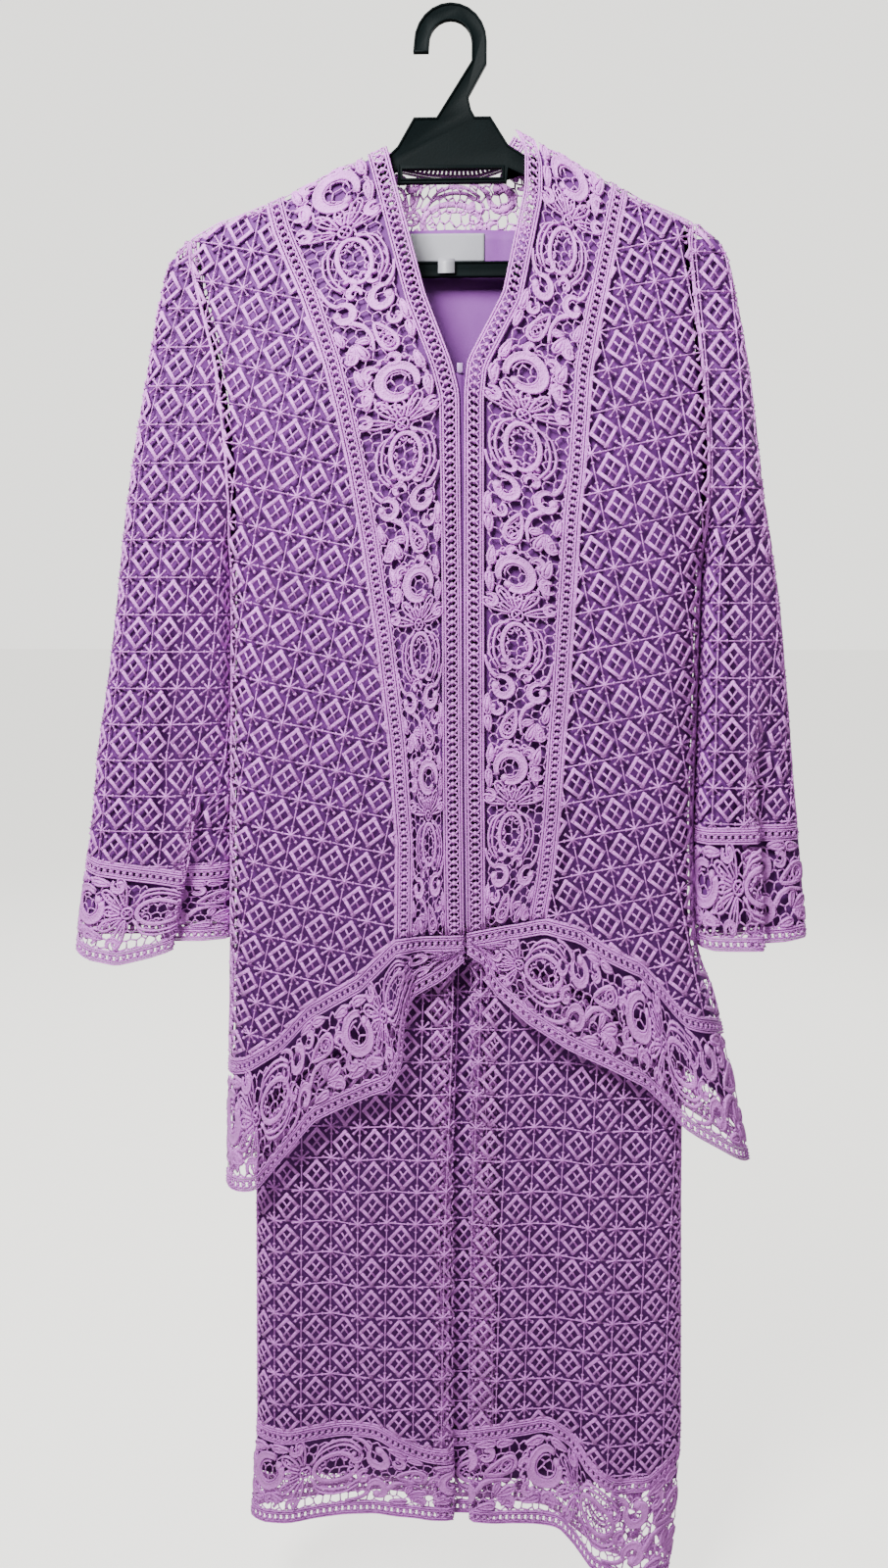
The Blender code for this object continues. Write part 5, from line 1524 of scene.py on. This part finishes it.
class LACESET_OT_zip(bpy.types.Operator):
    """Makes the zip's tape, coil, slider and pull."""

    bl_idname = "laceset.zip"
    bl_label = "Zip"

    def execute(self, context):
        rows = []
        line = evenly(ZIP_LINE, 120)
        for x, z in line:
            across = np.linspace(-4.0, 4.0, 9)
            y = body_front(x + across, np.full(9, z)) + 2.8
            y -= 1.1 * np.exp(-(across / 1.0) ** 2)
            rows.append(np.stack([x + across, y, np.full(9, z)], axis=-1))
        piece = shell("zip_tape", np.array(rows), 0.8, finish_named("Satin lining"))
        placed(piece, "lace", "zip")
        self.slider()
        return {"FINISHED"}

    def slider(self):
        """A small slider body with a rounded nose and a pull that hangs from it."""
        low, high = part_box("zip_slider")
        centre = 0.5 * (Vector(low) + Vector(high))
        bpy.ops.object.select_all(action="DESELECT")
        bpy.ops.mesh.primitive_cube_add(size=1.0, location=centre, scale=(0.0044, 0.0028, 0.0062))
        piece = bpy.context.active_object
        piece.name = "zip_slider_body"
        bpy.ops.object.transform_apply(location=True, rotation=False, scale=True)
        bpy.ops.object.mode_set(mode="EDIT")
        mesh = bmesh.from_edit_mesh(piece.data)
        for face in mesh.faces:
            face.select = face.normal.z < -0.5
        bmesh.update_edit_mesh(piece.data)
        bpy.ops.mesh.extrude_region_move(TRANSFORM_OT_translate={"value": (0, 0, -0.0012)})
        bpy.ops.transform.resize(value=(0.5, 0.7, 1.0), center_override=centre)
        bpy.ops.mesh.select_all(action="SELECT")
        bpy.ops.mesh.bevel(offset=0.0006, segments=3)
        bpy.ops.object.mode_set(mode="OBJECT")
        bpy.ops.object.shade_smooth()
        piece.data.materials.append(finish_named("Zip metal"))
        placed(piece, "metal", "zip_slider")


class LACESET_OT_hanger(bpy.types.Operator):
    """Makes the plastic hanger with raised rims round its hook, plate, arms and bar."""

    bl_idname = "laceset.hanger"
    bl_label = "Hanger"

    def execute(self, context):
        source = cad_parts["hanger"]
        piece = bpy.data.objects.new("hanger_plastic", source.data.copy())
        bpy.context.scene.collection.objects.link(piece)
        only(piece)
        bpy.ops.object.mode_set(mode="EDIT")
        bpy.ops.mesh.select_all(action="SELECT")
        bpy.ops.mesh.remove_doubles(threshold=0.00001)
        bpy.ops.mesh.dissolve_limited(angle_limit=math.radians(1.0))
        for way in (-1.0, 1.0):
            bpy.ops.mesh.select_mode(type="FACE")
            bpy.ops.mesh.select_all(action="DESELECT")
            mesh = bmesh.from_edit_mesh(piece.data)
            for face in mesh.faces:
                face.select = face.normal.y * way > 0.9
            bmesh.update_edit_mesh(piece.data)
            bpy.ops.mesh.inset(thickness=0.0013, depth=0.0, use_boundary=True, use_even_offset=True)
            bpy.ops.mesh.inset(thickness=0.0003, depth=-0.0009, use_boundary=True, use_even_offset=True)
        bpy.ops.object.mode_set(mode="OBJECT")
        bevel = piece.modifiers.new("Soft edges", "BEVEL")
        bevel.width, bevel.segments, bevel.limit_method = 0.0004, 2, "ANGLE"
        bevel.angle_limit = math.radians(35)
        bpy.ops.object.modifier_apply(modifier=bevel.name)
        bpy.ops.object.shade_smooth_by_angle(angle=math.radians(35))
        piece.data.materials.clear()
        piece.data.materials.append(finish_named("Black plastic"))
        placed(piece, "hanger", "hanger")
        return {"FINISHED"}


class LACESET_OT_stage(bpy.types.Operator):
    """Sets the camera, the soft lights, the pale backdrop colour and the floor."""

    bl_idname = "laceset.stage"
    bl_label = "Stage"

    def execute(self, context):
        scene = context.scene
        down, turn = (math.radians(angle) for angle in CAMERA_TURN)
        bpy.ops.object.camera_add(location=CAMERA_PLACE, rotation=(math.radians(90) - down, 0.0, turn))
        camera = context.active_object
        camera.name = "photo_camera"
        camera.data.lens, camera.data.sensor_width, camera.data.sensor_fit = CAMERA_LENS, 36.0, "AUTO"
        scene.camera = camera
        world = bpy.data.worlds.new("Pale room")
        world.use_nodes = True
        nodes, links = world.node_tree.nodes, world.node_tree.links
        room, backdrop = nodes["Background"], nodes.new("ShaderNodeBackground")
        for light, strength in ((room, ROOM_LIGHT), (backdrop, BACKDROP_GLOW)):
            light.inputs["Color"].default_value = PALE_WALL
            light.inputs["Strength"].default_value = strength
        seen, mix = nodes.new("ShaderNodeLightPath"), nodes.new("ShaderNodeMixShader")
        links.new(seen.outputs["Is Camera Ray"], mix.inputs["Fac"])
        links.new(room.outputs["Background"], mix.inputs[1])
        links.new(backdrop.outputs["Background"], mix.inputs[2])
        links.new(mix.outputs["Shader"], nodes["World Output"].inputs["Surface"])
        scene.world = world
        for name, place, size, power in LIGHTS:
            bpy.ops.object.light_add(type="AREA", location=place)
            light = context.active_object
            light.name = f"light_{name}"
            light.data.size, light.data.energy = size, power
            aim = Vector(LIGHT_AIM) - Vector(place)
            light.rotation_euler = aim.to_track_quat("-Z", "Y").to_euler()
        bpy.ops.object.select_all(action="DESELECT")
        bpy.ops.mesh.primitive_plane_add(size=FLOOR_SIZE, location=(0.0, 0.0, FLOOR_UP))
        floor = context.active_object
        floor.name = "floor"
        bpy.ops.object.mode_set(mode="EDIT")
        bpy.ops.mesh.subdivide(number_cuts=7)
        bpy.ops.object.mode_set(mode="OBJECT")
        pale = grained("Pale floor", (0.50, 0.495, 0.46), (0.52, 0.515, 0.48), 0.9, 30.0, 0.0001)
        shader = pale.node_tree.nodes["Principled BSDF"]
        shader.inputs["Emission Color"].default_value = PALE_WALL
        seen = pale.node_tree.nodes.new("ShaderNodeLightPath")
        glow = pale.node_tree.nodes.new("ShaderNodeMath")
        glow.operation = "MULTIPLY"
        glow.inputs[1].default_value = FLOOR_GLOW
        pale.node_tree.links.new(seen.outputs["Is Camera Ray"], glow.inputs[0])
        pale.node_tree.links.new(glow.outputs[0], shader.inputs["Emission Strength"])
        floor.data.materials.append(pale)
        return {"FINISHED"}


class LACESET_PT_panel(bpy.types.Panel):
    """Lists the set's pieces, sizes and colours."""

    bl_idname = "LACESET_PT_panel"
    bl_label = "Lace Set"
    bl_space_type = "VIEW_3D"
    bl_region_type = "UI"
    bl_category = "Lace Set"

    def draw(self, context):
        for operator in OPERATORS:
            self.layout.operator(operator.bl_idname)
        for group in (context.scene.lace_set_sizes, context.scene.lace_set_colours):
            for name in group.__annotations__:
                self.layout.prop(group, name)


OPERATORS = (
    LACESET_OT_stage, LACESET_OT_hanger, LACESET_OT_top_lattice, LACESET_OT_top_borders,
    LACESET_OT_top_lining, LACESET_OT_sleeves, LACESET_OT_skirt, LACESET_OT_waist, LACESET_OT_label,
    LACESET_OT_zip,
)
CLASSES = (LaceSetSizes, LaceSetColours, *OPERATORS, LACESET_PT_panel)


def register():
    for made in CLASSES:
        bpy.utils.register_class(made)
    bpy.types.Scene.lace_set_sizes = PointerProperty(type=LaceSetSizes)
    bpy.types.Scene.lace_set_colours = PointerProperty(type=LaceSetColours)


def unregister():
    del bpy.types.Scene.lace_set_sizes
    del bpy.types.Scene.lace_set_colours
    for made in reversed(CLASSES):
        bpy.utils.unregister_class(made)


def main():
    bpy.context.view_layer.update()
    register()
    for operator in OPERATORS:
        group, name = operator.bl_idname.split(".")
        getattr(getattr(bpy.ops, group), name)()


if __name__ == "__main__":
    main()
